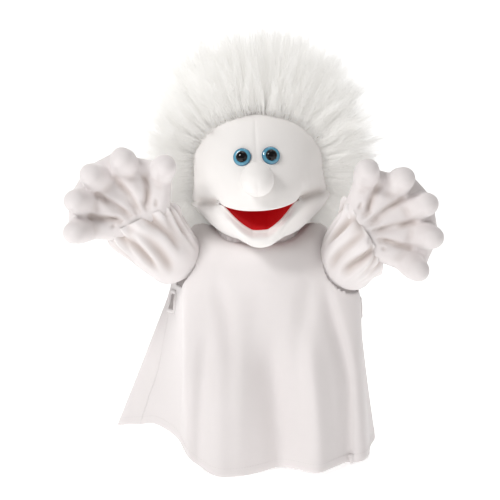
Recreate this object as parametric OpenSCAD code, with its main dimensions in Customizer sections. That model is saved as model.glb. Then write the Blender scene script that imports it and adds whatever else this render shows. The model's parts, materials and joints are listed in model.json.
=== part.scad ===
// Plush hand puppet: a furry head with a moving mouth, a bell-shaped robe and two gloves with
// five digits each. The puppet faces -Y and its left side is +X. The origin is in the middle of
// the neck sleeve, which the puppeteer's forearm goes through.

/* [Head] */
// Width of the head across the cheeks
head_w = 164; // [140:1:200]
// Height of the head from its lower rim to the crown
head_h = 158; // [130:1:195]
// Depth of the head from its middle to the upper lip
muzzle_d = 108; // [92:1:130]
// Depth of the head from its middle to the back
skull_back_d = 82; // [70:1:100]
// Length of the fur, as it stands off the skull
fur_len = 45; // [30:1:56]
// Sideways tilt of the head at rest, towards the puppet's right
head_tilt = 3; // [0:0.5:6]
// Turn of the head at rest, towards the puppet's right
head_yaw = 1; // [0:0.5:8]
// Offset of the head from the neck's axis, towards the puppet's left
head_shift = 4; // [0:0.5:6]
// Thickness of the fleece and its backing
fleece_t = 2.5; // [1.5:0.1:3.5]

/* [Mouth] */
// Distance of the jaw hinge behind the upper lip
mouth_d = 88; // [72:1:106]
// Height of the jaw hinge over the origin
hinge_z = 72; // [64:1:84]
// Slope of the upper mouth plate, down towards the lip
upper_slope = 12; // [6:1:16]
// Slope of the lower mouth plate at rest
lower_slope = 30; // [26:1:36]
// Thickness of a mouth plate
plate_t = 3; // [2:0.1:4]
// Thickness of the red lining
lining_t = 1.5; // [1:0.1:2]
// Depth of the jaw under its lip
jaw_h = 26; // [20:1:31]
// Height inside the finger pocket
pocket_h = 18; // [14:1:22]

/* [Eyes and nose] */
// Diameter of an eye's coloured disc
eye_d = 20; // [14:0.5:24]
// Diameter of the pupil dome
pupil_d = 12.5; // [8:0.5:13]
// Distance between the middles of the eyes
eye_gap = 31; // [25:0.5:38]
// Diameter of the ball nose
nose_d = 35; // [28:1:42]

/* [Neck] */
// Radius of the neck sleeve's bore, for a forearm
neck_r = 40; // [34:0.5:44]
// Length of the neck sleeve
neck_len = 50; // [40:1:60]
// Gap between neck pieces that turn on each other
neck_gap = 1.5; // [1:0.1:2]

/* [Robe] */
// Drop of the robe from the neckline to the front hem
robe_drop = 245; // [200:1:300]
// How much higher the back hem hangs than the front hem
hem_rise = 30; // [0:1:40]
// Width of the robe at the hem
hem_w = 284; // [240:1:345]
// Depth of the robe at the hem
hem_d = 172; // [140:1:206]
// Thickness of the robe cloth
cloth_t = 2.5; // [1.5:0.1:3]
// Height of the folded hem
hem_h = 9; // [6:0.5:12]
// Length of the side slot under an armhole
slot_len = 22; // [14:1:28]
// Half of the side slot's width
slot_half = 9; // [6:0.5:12]

/* [Arms] */
// Radius of the sleeve at the shoulder
sleeve_r = 38; // [32:0.5:40]
// Gap between the armhole and the sleeve
armhole_gap = 2; // [1:0.1:3]
// Half of the wrist's width
wrist_hw = 40; // [34:0.5:46]
// Half of the wrist's depth
wrist_hd = 22; // [18:0.5:26]

/* [Gloves] */
// Distance of the knuckles from the wrist
knuckle_r = 50; // [46:0.5:58]
// Radius of a digit
digit_r = 11.5; // [9:0.5:12]
// Length of a digit past its knuckle
digit_len = 49; // [40:1:58]
// Angle between a digit and the palm at rest
digit_curl = 60; // [50:1:65]
// Thickness of the glove cloth
glove_t = 2; // [1.5:0.1:2.5]

/* [Hidden] */

// Colours
cloth_white = [0.91, 0.89, 0.89];
fleece_white = [0.96, 0.95, 0.94];
glove_white = [0.90, 0.87, 0.87];
fur_white = [0.88, 0.88, 0.86];
mouth_red = [0.62, 0.02, 0.03];
board_grey = [0.55, 0.55, 0.56];
eye_blue = [0.40, 0.65, 0.74];
eye_black = [0.03, 0.03, 0.04];
stuffing_white = [0.97, 0.96, 0.92];

// Smoothness of the round pieces
round_fn = 48;
// Small gap between soft pieces of one body, so that they lie together without sinking in
seat = 1;
// Angle that the face and the fur each stop short of the seam between them
seam_allowance = 1.2;

// Head levels: height over the rim, half width, front depth and back depth, as shares of
// head_h, head_w / 2, muzzle_d and skull_back_d, then how far the cheeks pinch in beside
// the muzzle, as a share of head_w / 2
head_levels = [
    [0.00, 0.69, 0.84, 0.69, 0.10],
    [0.05, 0.78, 0.90, 0.76, 0.14],
    [0.13, 0.88, 0.97, 0.86, 0.18],
    [0.23, 0.97, 0.98, 0.94, 0.17],
    [0.36, 1.00, 0.92, 1.00, 0.10],
    [0.51, 1.00, 0.84, 1.00, 0.02],
    [0.67, 0.92, 0.77, 0.91, 0.00],
    [0.79, 0.78, 0.66, 0.76, 0.00],
    [0.90, 0.58, 0.49, 0.56, 0.00],
    [0.965, 0.37, 0.31, 0.36, 0.00],
    [1.00, 0.00, 0.00, 0.00, 0.00]];
head_rim_z = 32;
head_mid_y = -2;
// Height of the face's upper seam, as a share of head_h
brow = 0.79;
// Seam between the face and the fur: height share and angle from the front
seam_angles = [[0.0, 92], [0.2, 88], [0.32, 76], [0.5, 62], [0.62, 50], [0.72, 34],
    [0.79, 0]];
// The head nods about this point on the neck
nod_z = 28;

// Neck sizes, worked outward from the bore
sleeve_wall = 2;
sleeve_top = neck_len / 2 - 1;
binding_z = 2;
binding_h = 5;
binding_wall = 8;
collar_in = neck_r + sleeve_wall + neck_gap;
collar_wall = 3;
collar_z = binding_z + binding_h + 2;
collar_h = sleeve_top - collar_z + 2;
elastic_wall = 2;
elastic_h = 6;

// The jaw hinge, between the two mouth plates
hinge_y = head_mid_y - muzzle_d * 0.98 + mouth_d;
hinge_clear = 1;
plate_back = 4;
lip_lift = hinge_clear + lining_t;
// Gap between the edge of the skin at a lip and the lining
lip_gap = 0.5;
// Angle from the front at which the mouth's corners lie
corner_angle = 60;

// Robe levels: drop below the neckline as a share of the armhole's drop or of the whole,
// then half widths at the right and left and depths at the front and back
shoulder_drop = 60;
neckline_r = neck_r + sleeve_wall + 3;
shoulder_w = 100;
robe_levels = [
    [0, neckline_r, neckline_r, neckline_r, neckline_r],
    [5, 64, 64, 52, 54],
    [10, 80, 82, 56, 58],
    [18, 95, 97, 61, 62],
    [30, shoulder_w, 110, 65, 65],
    [44, shoulder_w, 116, 68, 68],
    [shoulder_drop, shoulder_w, 119, 71, 70]];
hem_right = hem_w / 2 + 12;
hem_left = hem_w / 2 - 10;

// Shoulder points, wrist points and hands. A hand's frame in the X-Z plane has "out" along
// the palm and "side" from the little digit towards the thumb.
shoulders = [[-95, -24, -6], [101, -26, -12]];
wrists = [[-head_w / 2 - 51, -75, 45], [head_w / 2 + 39, -75, 32]];
out_angle = [115.5, 31];
// Digits, from the thumb to the little one, as angles from +X in the X-Z plane
digit_angles = [[60, 101, 134, 163, 193], [94, 59, 26, -6, -40]];
knuckle_y = -9;
palm_reach = knuckle_r - 13;
back_reach = knuckle_r - 2;
hand_start = 4;
sleeve_stop = 7;

// ---- Shape helpers ----

function mix(a, b, t) = a * (1 - t) + b * t;
function unit(v) = v / norm(v);
function column(rows, k) = [for (r = rows) [r[0], r[k]]];
function radial(a) = [cos(a), 0, sin(a)];

// A closed wall between an outer and an inner grid of points, rows by columns. The points
// of row 0 are one point where pole is set.
function wall_index(i, j, cols, pole) = (pole && i == 0) ? 0 : i * cols + j;
function quad(a, b, c, d) = [[a, c, b], [a, d, c]];
function real_faces(list) =
    [for (f = list) if (f[0] != f[1] && f[1] != f[2] && f[2] != f[0]) f];
module wall(outer, inner, pole = false) {
    rows = len(outer);
    cols = len(outer[0]);
    count = rows * cols;
    function o(i, j) = wall_index(i, j, cols, pole);
    function n(i, j) = count + wall_index(i, j, cols, pole);
    skin = [for (i = [0:rows - 2], j = [0:cols - 2])
        each concat(
            quad(o(i, j), o(i, j + 1), o(i + 1, j + 1), o(i + 1, j)),
            quad(n(i, j), n(i + 1, j), n(i + 1, j + 1), n(i, j + 1)))];
    sides = [for (i = [0:rows - 2])
        each concat(
            quad(o(i, 0), o(i + 1, 0), n(i + 1, 0), n(i, 0)),
            quad(o(i, cols - 1), n(i, cols - 1), n(i + 1, cols - 1), o(i + 1, cols - 1)))];
    ends = [for (j = [0:cols - 2])
        each concat(
            quad(o(0, j), n(0, j), n(0, j + 1), o(0, j + 1)),
            quad(o(rows - 1, j), o(rows - 1, j + 1), n(rows - 1, j + 1), n(rows - 1, j)))];
    polyhedron([for (r = outer) each r, for (r = inner) each r],
        real_faces(concat(skin, sides, ends)), convexity = 8);
}

// A tube between outer and inner rings. Where tip is set, the outer and inner last rings
// are closed, which makes a sock.
function ring(center, a, b, n) = [for (k = [0:n - 1])
    center + a * cos(360 * k / n) + b * sin(360 * k / n)];
module tube(outer, inner, tip = false) {
    rows = len(outer);
    n = len(outer[0]);
    count = rows * n;
    function o(i, k) = i * n + (k % n);
    function w(i, k) = count + i * n + (k % n);
    skin = [for (i = [0:rows - 2], k = [0:n - 1])
        each concat(
            quad(o(i, k), o(i, k + 1), o(i + 1, k + 1), o(i + 1, k)),
            quad(w(i, k), w(i + 1, k), w(i + 1, k + 1), w(i, k + 1)))];
    mouth = [for (k = [0:n - 1]) each quad(o(0, k), w(0, k), w(0, k + 1), o(0, k + 1))];
    far = [for (k = [0:n - 1])
        each quad(o(rows - 1, k), o(rows - 1, k + 1), w(rows - 1, k + 1), w(rows - 1, k))];
    caps = [for (k = [1:n - 2])
        each [[o(rows - 1, 0), o(rows - 1, k + 1), o(rows - 1, k)],
            [w(rows - 1, 0), w(rows - 1, k), w(rows - 1, k + 1)]]];
    polyhedron([for (r = outer) each r, for (r = inner) each r],
        concat(skin, mouth, tip ? caps : far), convexity = 6);
}

// ---- Head surface ----

// Point of the head's skin at a height and an angle from the front, which is positive
// towards the puppet's right (-X), moved inwards by inset
function head_point(z, a, inset = 0) =
    let (
        h = (z - head_rim_z) / head_h,
        w = lookup(h, column(head_levels, 1)) * head_w / 2,
        front = lookup(h, column(head_levels, 2)) * muzzle_d,
        back = lookup(h, column(head_levels, 3)) * skull_back_d,
        pinch = abs(a) < 90 ? lookup(h, column(head_levels, 4)) * head_w / 2 : 0,
        x = w * sin(a) - 1.15 * pinch * sin(2 * a) * sin(abs(a)),
        y = cos(a) > 0 ? -front * cos(a) : -back * cos(a),
        r = max(norm([x, y]), 0.001),
        k = max(r - inset, 0) / r)
    [-x * k, head_mid_y + y * k, z];

// Height on the upper mouth plane, which lies lift over the hinge, under a skin point
function mouth_z(y, slope, lift) = hinge_z + (y - hinge_y) * tan(slope) + lift / cos(slope);
function lip_z(a, lift, z = 60, tries = 4) =
    tries == 0 ? z : lip_z(a, lift, mouth_z(head_point(z, a)[1], upper_slope, lift), tries - 1);

function seam_angle(z) = lookup((z - head_rim_z) / head_h, seam_angles);
// Grid of the face's right half: rows from the brow to the lip, columns from the middle
face_rows = 9;
face_cols = 7;
brow_z = head_rim_z + brow * head_h;
function face_grid(inset, lift, drop = 0, trim = seam_allowance) =
    [for (i = [0:face_rows]) [for (j = [0:face_cols])
        let (
            t = i / face_rows,
            top = brow_z - drop,
            z0 = mix(top, lip_z(80, lift), t),
            a = max(seam_angle(z0) - trim, 0) * j / face_cols,
            z = mix(top, lip_z(a, lift), t),
            down = min(inset, fleece_t))
        head_point(z - (i == 0 ? down : 0), a, inset)]];

// Low down the fur stays behind the cheeks: height share and angle from the front
fur_fronts = [[0, 112], [0.15, 110], [0.25, 101], [0.35, 88], [0.45, 70], [0.5, 0]];
function fur_front(z) = lookup((z - head_rim_z) / head_h, fur_fronts);
// The fur's envelope is thinner beside the face, over so many columns
seam_fur = 0.55;
seam_fur_cols = 8 / 3;
seat_fur = 3;
// Middle of the skull, from which the fur stands off
skull_mid_z = head_rim_z + head_h * 0.45;
// Share of the outward push that moves the fur down, below the middle of the skull
low_lean = 0.1;
// Spacing of the rows, closer together at the crown
row_power = 1.25;
// Grid of the hair's right half: rows from the crown to the rim, columns from the seam to
// the back
hair_rows = 11;
hair_cols = 8;
function hair_grid(grow, z_low, low_front = false) =
    [for (i = [0:hair_rows]) [for (j = [0:hair_cols])
        let (
            t = i / hair_rows,
            top = head_rim_z + head_h - 0.01,
            z = top - (top - z_low) * pow(t, row_power),
            a0 = z > brow_z ? 0
                : max(seam_angle(z) + seam_allowance, low_front ? fur_front(z) : 0),
            a = mix(a0, 180, j / hair_cols),
            p = head_point(z, a),
            c = [0, head_mid_y, skull_mid_z],
            far = unit(p - c),
            lean = z > skull_mid_z ? 1 : low_lean,
            near_seam = z > brow_z ? 1 : mix(seam_fur, 1, min(1, j / seam_fur_cols)),
            g = grow * (grow > seat_fur ? near_seam : 1))
        [p[0] + g * far[0], p[1] + g * far[1], p[2] + g * far[2] * lean]]];

module tilted() {
    translate([head_shift, 0, nod_z]) rotate([0, -head_tilt, -head_yaw])
        translate([0, 0, -nod_z]) children();
}

module on_side(side) {
    if (side > 0) mirror([1, 0, 0]) children();
    else children();
}

// Length of a cutter that goes right through the face
through = 60;
stem_clearance = 0.2;
module face(side) {
    tilted() color(fleece_white) on_side(side) difference() {
        wall(face_grid(0, lip_lift + lip_gap), face_grid(fleece_t, lip_lift + lip_gap), pole = true);
        eye_frame() cylinder(r = eye_stem_r + stem_clearance, h = through, center = true, $fn = 16);
    }
}

module hair_backing(side) {
    tilted() color(cloth_white) on_side(side)
        wall(hair_grid(0, head_rim_z), hair_grid(-fleece_t, head_rim_z), pole = true);
}

// The fur is one soft envelope on each side of the head
module fur(side) {
    tilted() color(fur_white) on_side(side)
        wall(hair_grid(fur_len, head_rim_z, true), hair_grid(seat_fur, head_rim_z, true),
            pole = true);
}

// The pad behind the face: its thickness, how far it stops below the brow, its angle short
// of the seam and its height over the mouth plate
face_pad_t = 10;
face_pad_drop = 8;
face_pad_trim = 6;
face_pad_lift = lip_lift + plate_t + 4;
module face_stuffing() {
    inset = fleece_t + seat;
    tilted() color(stuffing_white) difference() {
        for (side = [-1, 1]) on_side(side)
            wall(face_grid(inset, face_pad_lift, face_pad_drop, face_pad_trim),
                face_grid(inset + face_pad_t, face_pad_lift, face_pad_drop, face_pad_trim));
        for (side = [-1, 1]) on_side(side)
            eye_frame() cylinder(r = eye_d / 2 + 1, h = through, center = true, $fn = 24);
    }
}

// The pad under the crown: its inner and outer depth, its lowest height and where it stops
// short of the crown and of the face
crown_pad_in = 14;
crown_pad_out = 2.4 * seat;
crown_pad_z = head_rim_z + 0.4 * head_h;
crown_pad_top = head_rim_z + head_h - 5;
crown_pad_front = -10;
module crown_stuffing() {
    tilted() color(stuffing_white) intersection() {
        for (side = [-1, 1]) on_side(side)
            wall(hair_grid(-fleece_t - crown_pad_out, crown_pad_z),
                hair_grid(-fleece_t - crown_pad_in, crown_pad_z), pole = true);
        translate([-head_w, crown_pad_front, crown_pad_z - 1])
            cube([2 * head_w, head_w, crown_pad_top - crown_pad_z + 1]);
    }
}

// ---- Mouth ----

// Outline of a mouth plate: forward distance from the hinge against the side
function plate_outline(slope, inset, reach) =
    let (arc = [for (a = [-corner_angle:10:corner_angle])
        let (p = head_point(lip_z(a, lip_lift), a, inset))
        [p[0], reach * (hinge_y - p[1]) / cos(upper_slope)]])
    concat(arc, [[arc[len(arc) - 1][0], plate_back], [arc[0][0], plate_back]]);
module mouth_layer(slope, low, thick, inset, reach) {
    translate([0, hinge_y, hinge_z]) rotate([slope, 0, 0]) translate([0, 0, low])
        linear_extrude(thick) mirror([0, 1]) polygon(plate_outline(slope, inset, reach));
}
lower_reach = 0.94;

module upper_mouth_plate() {
    tilted() color(board_grey)
        mouth_layer(upper_slope, lip_lift, plate_t, fleece_t + seat + 1, 1);
}
module upper_mouth_lining() {
    tilted() color(mouth_red)
        mouth_layer(upper_slope, hinge_clear, lining_t, 0, 1);
}
module lower_mouth_plate() {
    tilted() color(board_grey)
        mouth_layer(lower_slope, -lip_lift - plate_t, plate_t, fleece_t + seat + 1, lower_reach);
}
module lower_mouth_lining() {
    tilted() color(mouth_red)
        mouth_layer(lower_slope, -lip_lift, lining_t, 0, lower_reach);
}

// A fabric loop on a mouth plate, open at both ends. It is an arch in front view.
pocket_wall = 2;
module pocket_loop(width, height, length) {
    rotate([90, 0, 0]) linear_extrude(length) difference() {
        pocket_shape(width, height);
        pocket_shape(width - 2 * pocket_wall, height - pocket_wall);
    }
}
module pocket_shape(width, height) {
    intersection() {
        scale([width / 2, height]) circle(r = 1, $fn = 32);
        translate([-width, 0]) square([2 * width, 2 * height]);
    }
}
// Width, start in front of the hinge and length of each pocket
finger_pocket_w = 0.36 * head_w;
finger_pocket_at = 26;
finger_pocket_l = 26;
thumb_pocket_w = 32;
thumb_pocket_at = 57;
thumb_pocket_l = 16;
thumb_pocket_h = 0.54 * jaw_h;
module finger_pocket() {
    tilted() color(cloth_white) translate([0, hinge_y, hinge_z]) rotate([upper_slope, 0, 0])
        translate([0, -finger_pocket_at, lip_lift + plate_t])
        pocket_loop(finger_pocket_w, pocket_h + pocket_wall, finger_pocket_l);
}
module thumb_pocket() {
    tilted() color(cloth_white) translate([0, hinge_y, hinge_z]) rotate([lower_slope, 0, 0])
        translate([0, -thumb_pocket_at, -lip_lift - plate_t]) mirror([0, 0, 1])
        pocket_loop(thumb_pocket_w, thumb_pocket_h, thumb_pocket_l);
}

// The jaw's skin: a U-shaped bowl under the lower plate. Rows run from the lip down.
jaw_rows = 6;
jaw_cols = 8;
jaw_end_angle = 66;
// Shares by which the bowl narrows, draws back and leans forward towards its bottom
jaw_narrow = 0.45;
jaw_draw = 0.1;
jaw_lean = 0.35;
// Depth of the bowl at its ends, as a share of the depth in the middle
jaw_end_depth = 0.62;
function jaw_point(a, t, inset) =
    let (
        lip = head_point(lip_z(a, lip_lift), a, inset),
        fwd = lower_reach * (hinge_y - lip[1]) / cos(upper_slope),
        pull = 1 - jaw_narrow * pow(t, 1.6),
        low = lip_lift + lip_gap,
        down = (jaw_h - inset) * sin(90 * t) * jaw_depth(a),
        f = fwd * (1 - jaw_draw * pow(t, 2)),
        x = lip[0] * pull)
    [x, hinge_y - f * cos(lower_slope) + (low - down * jaw_lean) * sin(lower_slope),
        hinge_z - f * sin(lower_slope) - (low + down) * cos(lower_slope)];
function jaw_depth(a) = mix(jaw_end_depth, 1, cos(a));
function jaw_grid(inset) =
    [for (i = [0:jaw_rows]) [for (j = [0:jaw_cols])
        jaw_point(jaw_end_angle * j / jaw_cols, i / jaw_rows, inset)]];
module chin(side) {
    tilted() color(fleece_white) on_side(side)
        wall(jaw_grid(0), jaw_grid(fleece_t));
}

// ---- Eyes and nose ----

eye_stem_r = 2.5;
eye_stem_l = 11;
eye_pitch = 14;
eye_z = head_rim_z + 0.5 * head_h;
// The coloured disc: how far it stands off the skin, its thickness and its bevel
iris_lift = 0.6;
iris_h = 3;
iris_bevel = 1.4;
pupil_sink = 1.5;
washer_r = 8;
washer_h = 1.5;
washer_z = -8;
// Frame on the right side of the face: origin on the skin, +Z outwards
module eye_frame() {
    a = asin(eye_gap / head_w);
    p = head_point(eye_z, a);
    translate(p) rotate([90 - eye_pitch, 0, 0]) rotate([0, -a, 0]) children();
}
module eye_iris(side) {
    tilted() color(eye_blue) on_side(side) eye_frame() {
        translate([0, 0, iris_lift])
            cylinder(r1 = eye_d / 2, r2 = eye_d / 2 - iris_bevel, h = iris_h, $fn = round_fn);
        translate([0, 0, -eye_stem_l])
            cylinder(r = eye_stem_r, h = eye_stem_l + iris_lift + 0.1, $fn = 16);
    }
}
module eye_pupil(side) {
    tilted() color(eye_black) on_side(side) eye_frame() translate([0, 0, iris_lift + iris_h])
        intersection() {
            translate([0, 0, -pupil_sink]) sphere(d = pupil_d, $fn = round_fn);
            cylinder(r = pupil_d, h = pupil_d, $fn = round_fn);
        }
}
module eye_washer(side) {
    tilted() color(board_grey) on_side(side) eye_frame() translate([0, 0, washer_z])
        difference() {
            cylinder(r = washer_r, h = washer_h, $fn = round_fn);
            cylinder(r = eye_stem_r, h = 3 * washer_h, center = true, $fn = 16);
        }
}

nose_pitch = 15;
nose_z = head_rim_z + 0.33 * head_h;
// Distance from the ball's middle to its flat back, as a share of its radius
nose_sink = 0.78;
nose_lift = 2;
module nose_frame() {
    p = head_point(nose_z, 0);
    tilted() translate(p) rotate([90 - nose_pitch, 0, 0])
        translate([0, 0, nose_sink * nose_d / 2 + nose_lift]) children();
}
module nose_ball(r, cut) {
    intersection() {
        sphere(r = r, $fn = round_fn);
        translate([0, 0, -cut]) cylinder(r = nose_d, h = nose_d + cut, $fn = round_fn);
    }
}
module nose_cover(side) {
    color(fleece_white) nose_frame() difference() {
        nose_ball(nose_d / 2, nose_sink * nose_d / 2);
        nose_ball(nose_d / 2 - fleece_t, nose_d);
        translate([side > 0 ? -nose_d : 0, -nose_d, -nose_d]) cube([nose_d, 2 * nose_d, 2 * nose_d]);
    }
}
module nose_stuffing() {
    color(stuffing_white) nose_frame()
        nose_ball(nose_d / 2 - fleece_t, nose_sink * nose_d / 2);
}

// ---- Neck ----

module neck_ring(r, wall, h) {
    difference() {
        cylinder(r = r + wall, h = h, $fn = round_fn);
        translate([0, 0, -1]) cylinder(r = r, h = h + 2, $fn = round_fn);
    }
}
module neck_sleeve() {
    color(cloth_white) translate([0, 0, sleeve_top - neck_len])
        neck_ring(neck_r, sleeve_wall, neck_len);
}
module neck_binding() {
    color(cloth_white) translate([0, 0, binding_z])
        neck_ring(neck_r + sleeve_wall, binding_wall, binding_h);
}
module neck_collar() {
    color(fleece_white) translate([0, 0, collar_z]) neck_ring(collar_in, collar_wall, collar_h);
}
module neck_elastic() {
    color(cloth_white) translate([0, 0, collar_z + collar_h - elastic_h - 1])
        neck_ring(collar_in + collar_wall, elastic_wall, elastic_h);
}

// ---- Robe ----

// Sizes of the robe at a drop below the neckline
function robe_size(d, k) =
    d <= shoulder_drop ? lookup(d, column(robe_levels, k))
    : let (t = (d - shoulder_drop) / (robe_drop - shoulder_drop),
        top = robe_levels[len(robe_levels) - 1][k],
        hem = [0, hem_right, hem_left, hem_d / 2, hem_d / 2][k])
    mix(top, hem, pow(t, 0.85));
// Point at a drop and an angle a from the side towards the front (f < 0) or the back
function robe_point(side, f, d, a, inset) =
    let (w = robe_size(d, side < 0 ? 1 : 2) - inset, depth = robe_size(d, f < 0 ? 3 : 4) - inset)
    [side * w * cos(a), f * depth * sin(a), binding_z - d];
function shoulder_of(side) = shoulders[side < 0 ? 0 : 1];
armhole_r = sleeve_r + armhole_gap;
function in_armhole(side, f, d, a) =
    norm(robe_point(side, f, d, a, 0) - shoulder_of(side)) < armhole_r + 1;
// Edge angle at which a panel clears the armhole, found by halving
function armhole_angle(side, f, d, lo, hi, tries = 9) =
    tries == 0 ? hi
    : let (m = (lo + hi) / 2)
    in_armhole(side, f, d, m) ? armhole_angle(side, f, d, m, hi, tries - 1)
        : armhole_angle(side, f, d, lo, m, tries - 1);
// Angles between which an armhole's edge is looked for, on the front and on either panel
front_edge_from = 22;
edge_to = 80;
// The slot starts below this drop
slot_from = 12;
function first_angle(f) = f < 0 ? front_edge_from : 0;
function slot_low(side) =
    binding_z - shoulder_of(side)[2] + armhole_r + slot_len;
function slot_angle(side, d) =
    d < slot_low(side) - 1 && d > slot_from ? asin(slot_half / robe_size(d, 3)) : 0;
function edge_angle(side, f, d) =
    max(slot_angle(side, d),
        in_armhole(side, f, d, first_angle(f))
            ? armhole_angle(side, f, d, first_angle(f), edge_to) : 0);

robe_cols = 14;
robe_upper = [0, 3, 6, 10, 15, 21, 28, 35, 42, 48, 53, 57, 62];
robe_lower = 7;
// Rows round the end of a slot lie close together
slot_row = 1.2;
function drops() =
    concat(robe_upper, [slot_low(-1) - slot_row, slot_low(-1), slot_low(1) + slot_row],
        [for (i = [1:robe_lower]) mix(slot_low(1) + 2 * slot_row, robe_drop, i / robe_lower)]);
// The hem rises from the front to the back
function hem_shift(d, f, a) =
    let (from = slot_low(1) + 2 * slot_row, rise = 0.5 + f * 0.5 * sin(a))
    max(0, (d - from) / (robe_drop - from)) * hem_rise * rise;
// Grid of a panel: rows down, columns from the right edge to the left edge
function robe_grid(f, inset, rows) =
    [for (d = rows) [for (j = [0:robe_cols])
        let (
            u = 2 * j / robe_cols - 1,
            side = u < 0 ? -1 : 1,
            a = mix(90, edge_angle(side, f, d), abs(u)),
            p = robe_point(side, f, d, a, inset))
        p + [0, 0, hem_shift(d, f, a)]]];
module robe_panel(f) {
    rows = drops();
    outer = robe_grid(f, 0, rows);
    inner = robe_grid(f, cloth_t, rows);
    color(cloth_white)
        if (f < 0) wall(inner, outer);
        else wall(outer, inner);
}
module robe_front() {
    robe_panel(-1);
}
module robe_back() {
    robe_panel(1);
}
module hem_band(f) {
    rows = [for (i = [0:1]) robe_drop - hem_h * (1 - i)];
    outer = robe_grid(f, cloth_t + seat, rows);
    inner = robe_grid(f, 2 * cloth_t + seat, rows);
    color(cloth_white)
        if (f < 0) wall(inner, outer);
        else wall(outer, inner);
}
module hem_front() {
    hem_band(-1);
}
module hem_back() {
    hem_band(1);
}
// Two folded strips inside the slot's edges: how much shorter they are than the slot, the
// angles between which they lie behind an edge and their depth under the robe's outer face
binding_short = 6;
binding_from = 1;
binding_to = 5;
binding_in = cloth_t + 2 * seat;
module slot_binding(side) {
    low = slot_low(side) - slot_row - 2;
    rows = [for (i = [0:3]) mix(low - slot_len + binding_short, low, i / 3)];
    function edge(d) = max(edge_angle(side, -1, d), slot_angle(side, low));
    color(cloth_white) for (f = [-1, 1]) {
        strip = function(inset) [for (d = rows) [for (a = [binding_from, binding_to])
            robe_point(side, f, d, edge(d) + a, inset)]];
        if (f * side < 0) wall(strip(binding_in), strip(binding_in + cloth_t));
        else wall(strip(binding_in + cloth_t), strip(binding_in));
    }
}

// ---- Arms ----

function hand_out(h) = radial(out_angle[h]);
function hand_side(h) = radial(out_angle[h] + (h == 0 ? -90 : 90));
// Sleeve rings: share of the way, half width and half depth
sleeve_shape = [[0, sleeve_r - 5, sleeve_r - 5], [0.1, sleeve_r - 2, sleeve_r - 2],
    [0.3, sleeve_r - 5, sleeve_r - 6], [0.6, sleeve_r - 5, sleeve_r - 10],
    [0.85, wrist_hw - 2, wrist_hd + 2], [1, wrist_hw, wrist_hd]];
function sleeve_ring(h, s, inset) =
    let (
        start = shoulders[h],
        end = wrists[h] - hand_out(h) * sleeve_stop,
        along = unit(end - start),
        side0 = unit(hand_side(h) - along * (hand_side(h) * along)),
        side = unit(mix(side0, hand_side(h), s[0])),
        deep0 = cross(along, side0),
        deep1 = cross(hand_out(h), hand_side(h)),
        deep = unit(mix(deep0, deep1, s[0])))
    ring(mix(start, end, s[0]), side * (s[1] - inset), deep * (s[2] - inset), 20);
module sleeve(h) {
    color(cloth_white)
        tube([for (s = sleeve_shape) sleeve_ring(h, s, 0)],
            [for (s = sleeve_shape) sleeve_ring(h, s, cloth_t)]);
}
// Share of the sleeve at which the elastic starts
elastic_from = 0.9;
module wrist_elastic(h) {
    band = [[elastic_from, wrist_hw - 1.5, wrist_hd + 1.3], [1, wrist_hw, wrist_hd]];
    color(cloth_white) tube([for (s = band) sleeve_ring(h, s, cloth_t + seat)],
        [for (s = band) sleeve_ring(h, s, 2 * cloth_t + seat)]);
}

// ---- Gloves ----

hand_rows = 5;
hand_cols = 10;
// Degrees by which the palm is wider than its outer digits' knuckles
fan_margin = 5;
// Half of the gap between the palm and the back of the hand, and how round their edges are
half_gap = 0.7;
edge_round = 0.97;
// Middle of the glove at a share s from the wrist and u across, from the thumb side (-1)
function hand_mid(h, s, u, reach) =
    let (
        base = wrists[h] + hand_out(h) * hand_start - hand_side(h) * (wrist_hw - 1) * u,
        turn = h == 0 ? 1 : -1,
        a0 = digit_angles[h][0] - turn * fan_margin,
        a1 = digit_angles[h][4] + turn * fan_margin,
        arc = wrists[h] + radial(mix(a0, a1, (u + 1) / 2)) * reach + [0, knuckle_y, 0])
    mix(base, arc, s);
function hand_grid(h, f, reach, inset) =
    [for (i = [0:hand_rows]) [for (j = [0:hand_cols])
        let (
            s = i / hand_rows,
            u = 2 * j / hand_cols - 1,
            deep = mix(wrist_hd - 2, digit_r + 2, s),
            y = f * (half_gap + (deep - inset) * sqrt(1 - edge_round * u * u)))
        hand_mid(h, s, u * (1 - inset / wrist_hw), reach) + [0, y, 0]]];
module hand_panel(h, f, reach) {
    outer = hand_grid(h, f, reach, 0);
    inner = hand_grid(h, f, reach, glove_t);
    color(glove_white)
        if (f * (h == 0 ? 1 : -1) < 0) wall(inner, outer);
        else wall(outer, inner);
}
module palm(h) {
    hand_panel(h, -1, palm_reach);
}
module hand_back(h) {
    hand_panel(h, 1, back_reach);
}

// A digit starts clear of its knuckle and ends in a dome
digit_start = 8;
digit_sides = 12;
tip_angles = [30, 55, 75];
function digit_dir(h, k) =
    radial(digit_angles[h][k]) * cos(digit_curl) + [0, -sin(digit_curl), 0];
function knuckle(h, k) = wrists[h] + radial(digit_angles[h][k]) * knuckle_r + [0, knuckle_y, 0];
function digit_rings(h, k, r, far) =
    let (
        along = digit_dir(h, k),
        a = radial(digit_angles[h][k] + 90),
        b = cross(along, a),
        stations = concat([[digit_start, r], [digit_start + 9, r], [far - 1.05 * r, r]],
            [for (q = tip_angles) [far - r + r * sin(q), r * cos(q)]]))
    [for (s = stations) ring(knuckle(h, k) + along * s[0], a * s[1], b * s[1], digit_sides)];
module digit(h, k) {
    color(glove_white)
        tube(digit_rings(h, k, digit_r, digit_len),
            digit_rings(h, k, digit_r - glove_t, digit_len - glove_t), tip = true);
}

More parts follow.
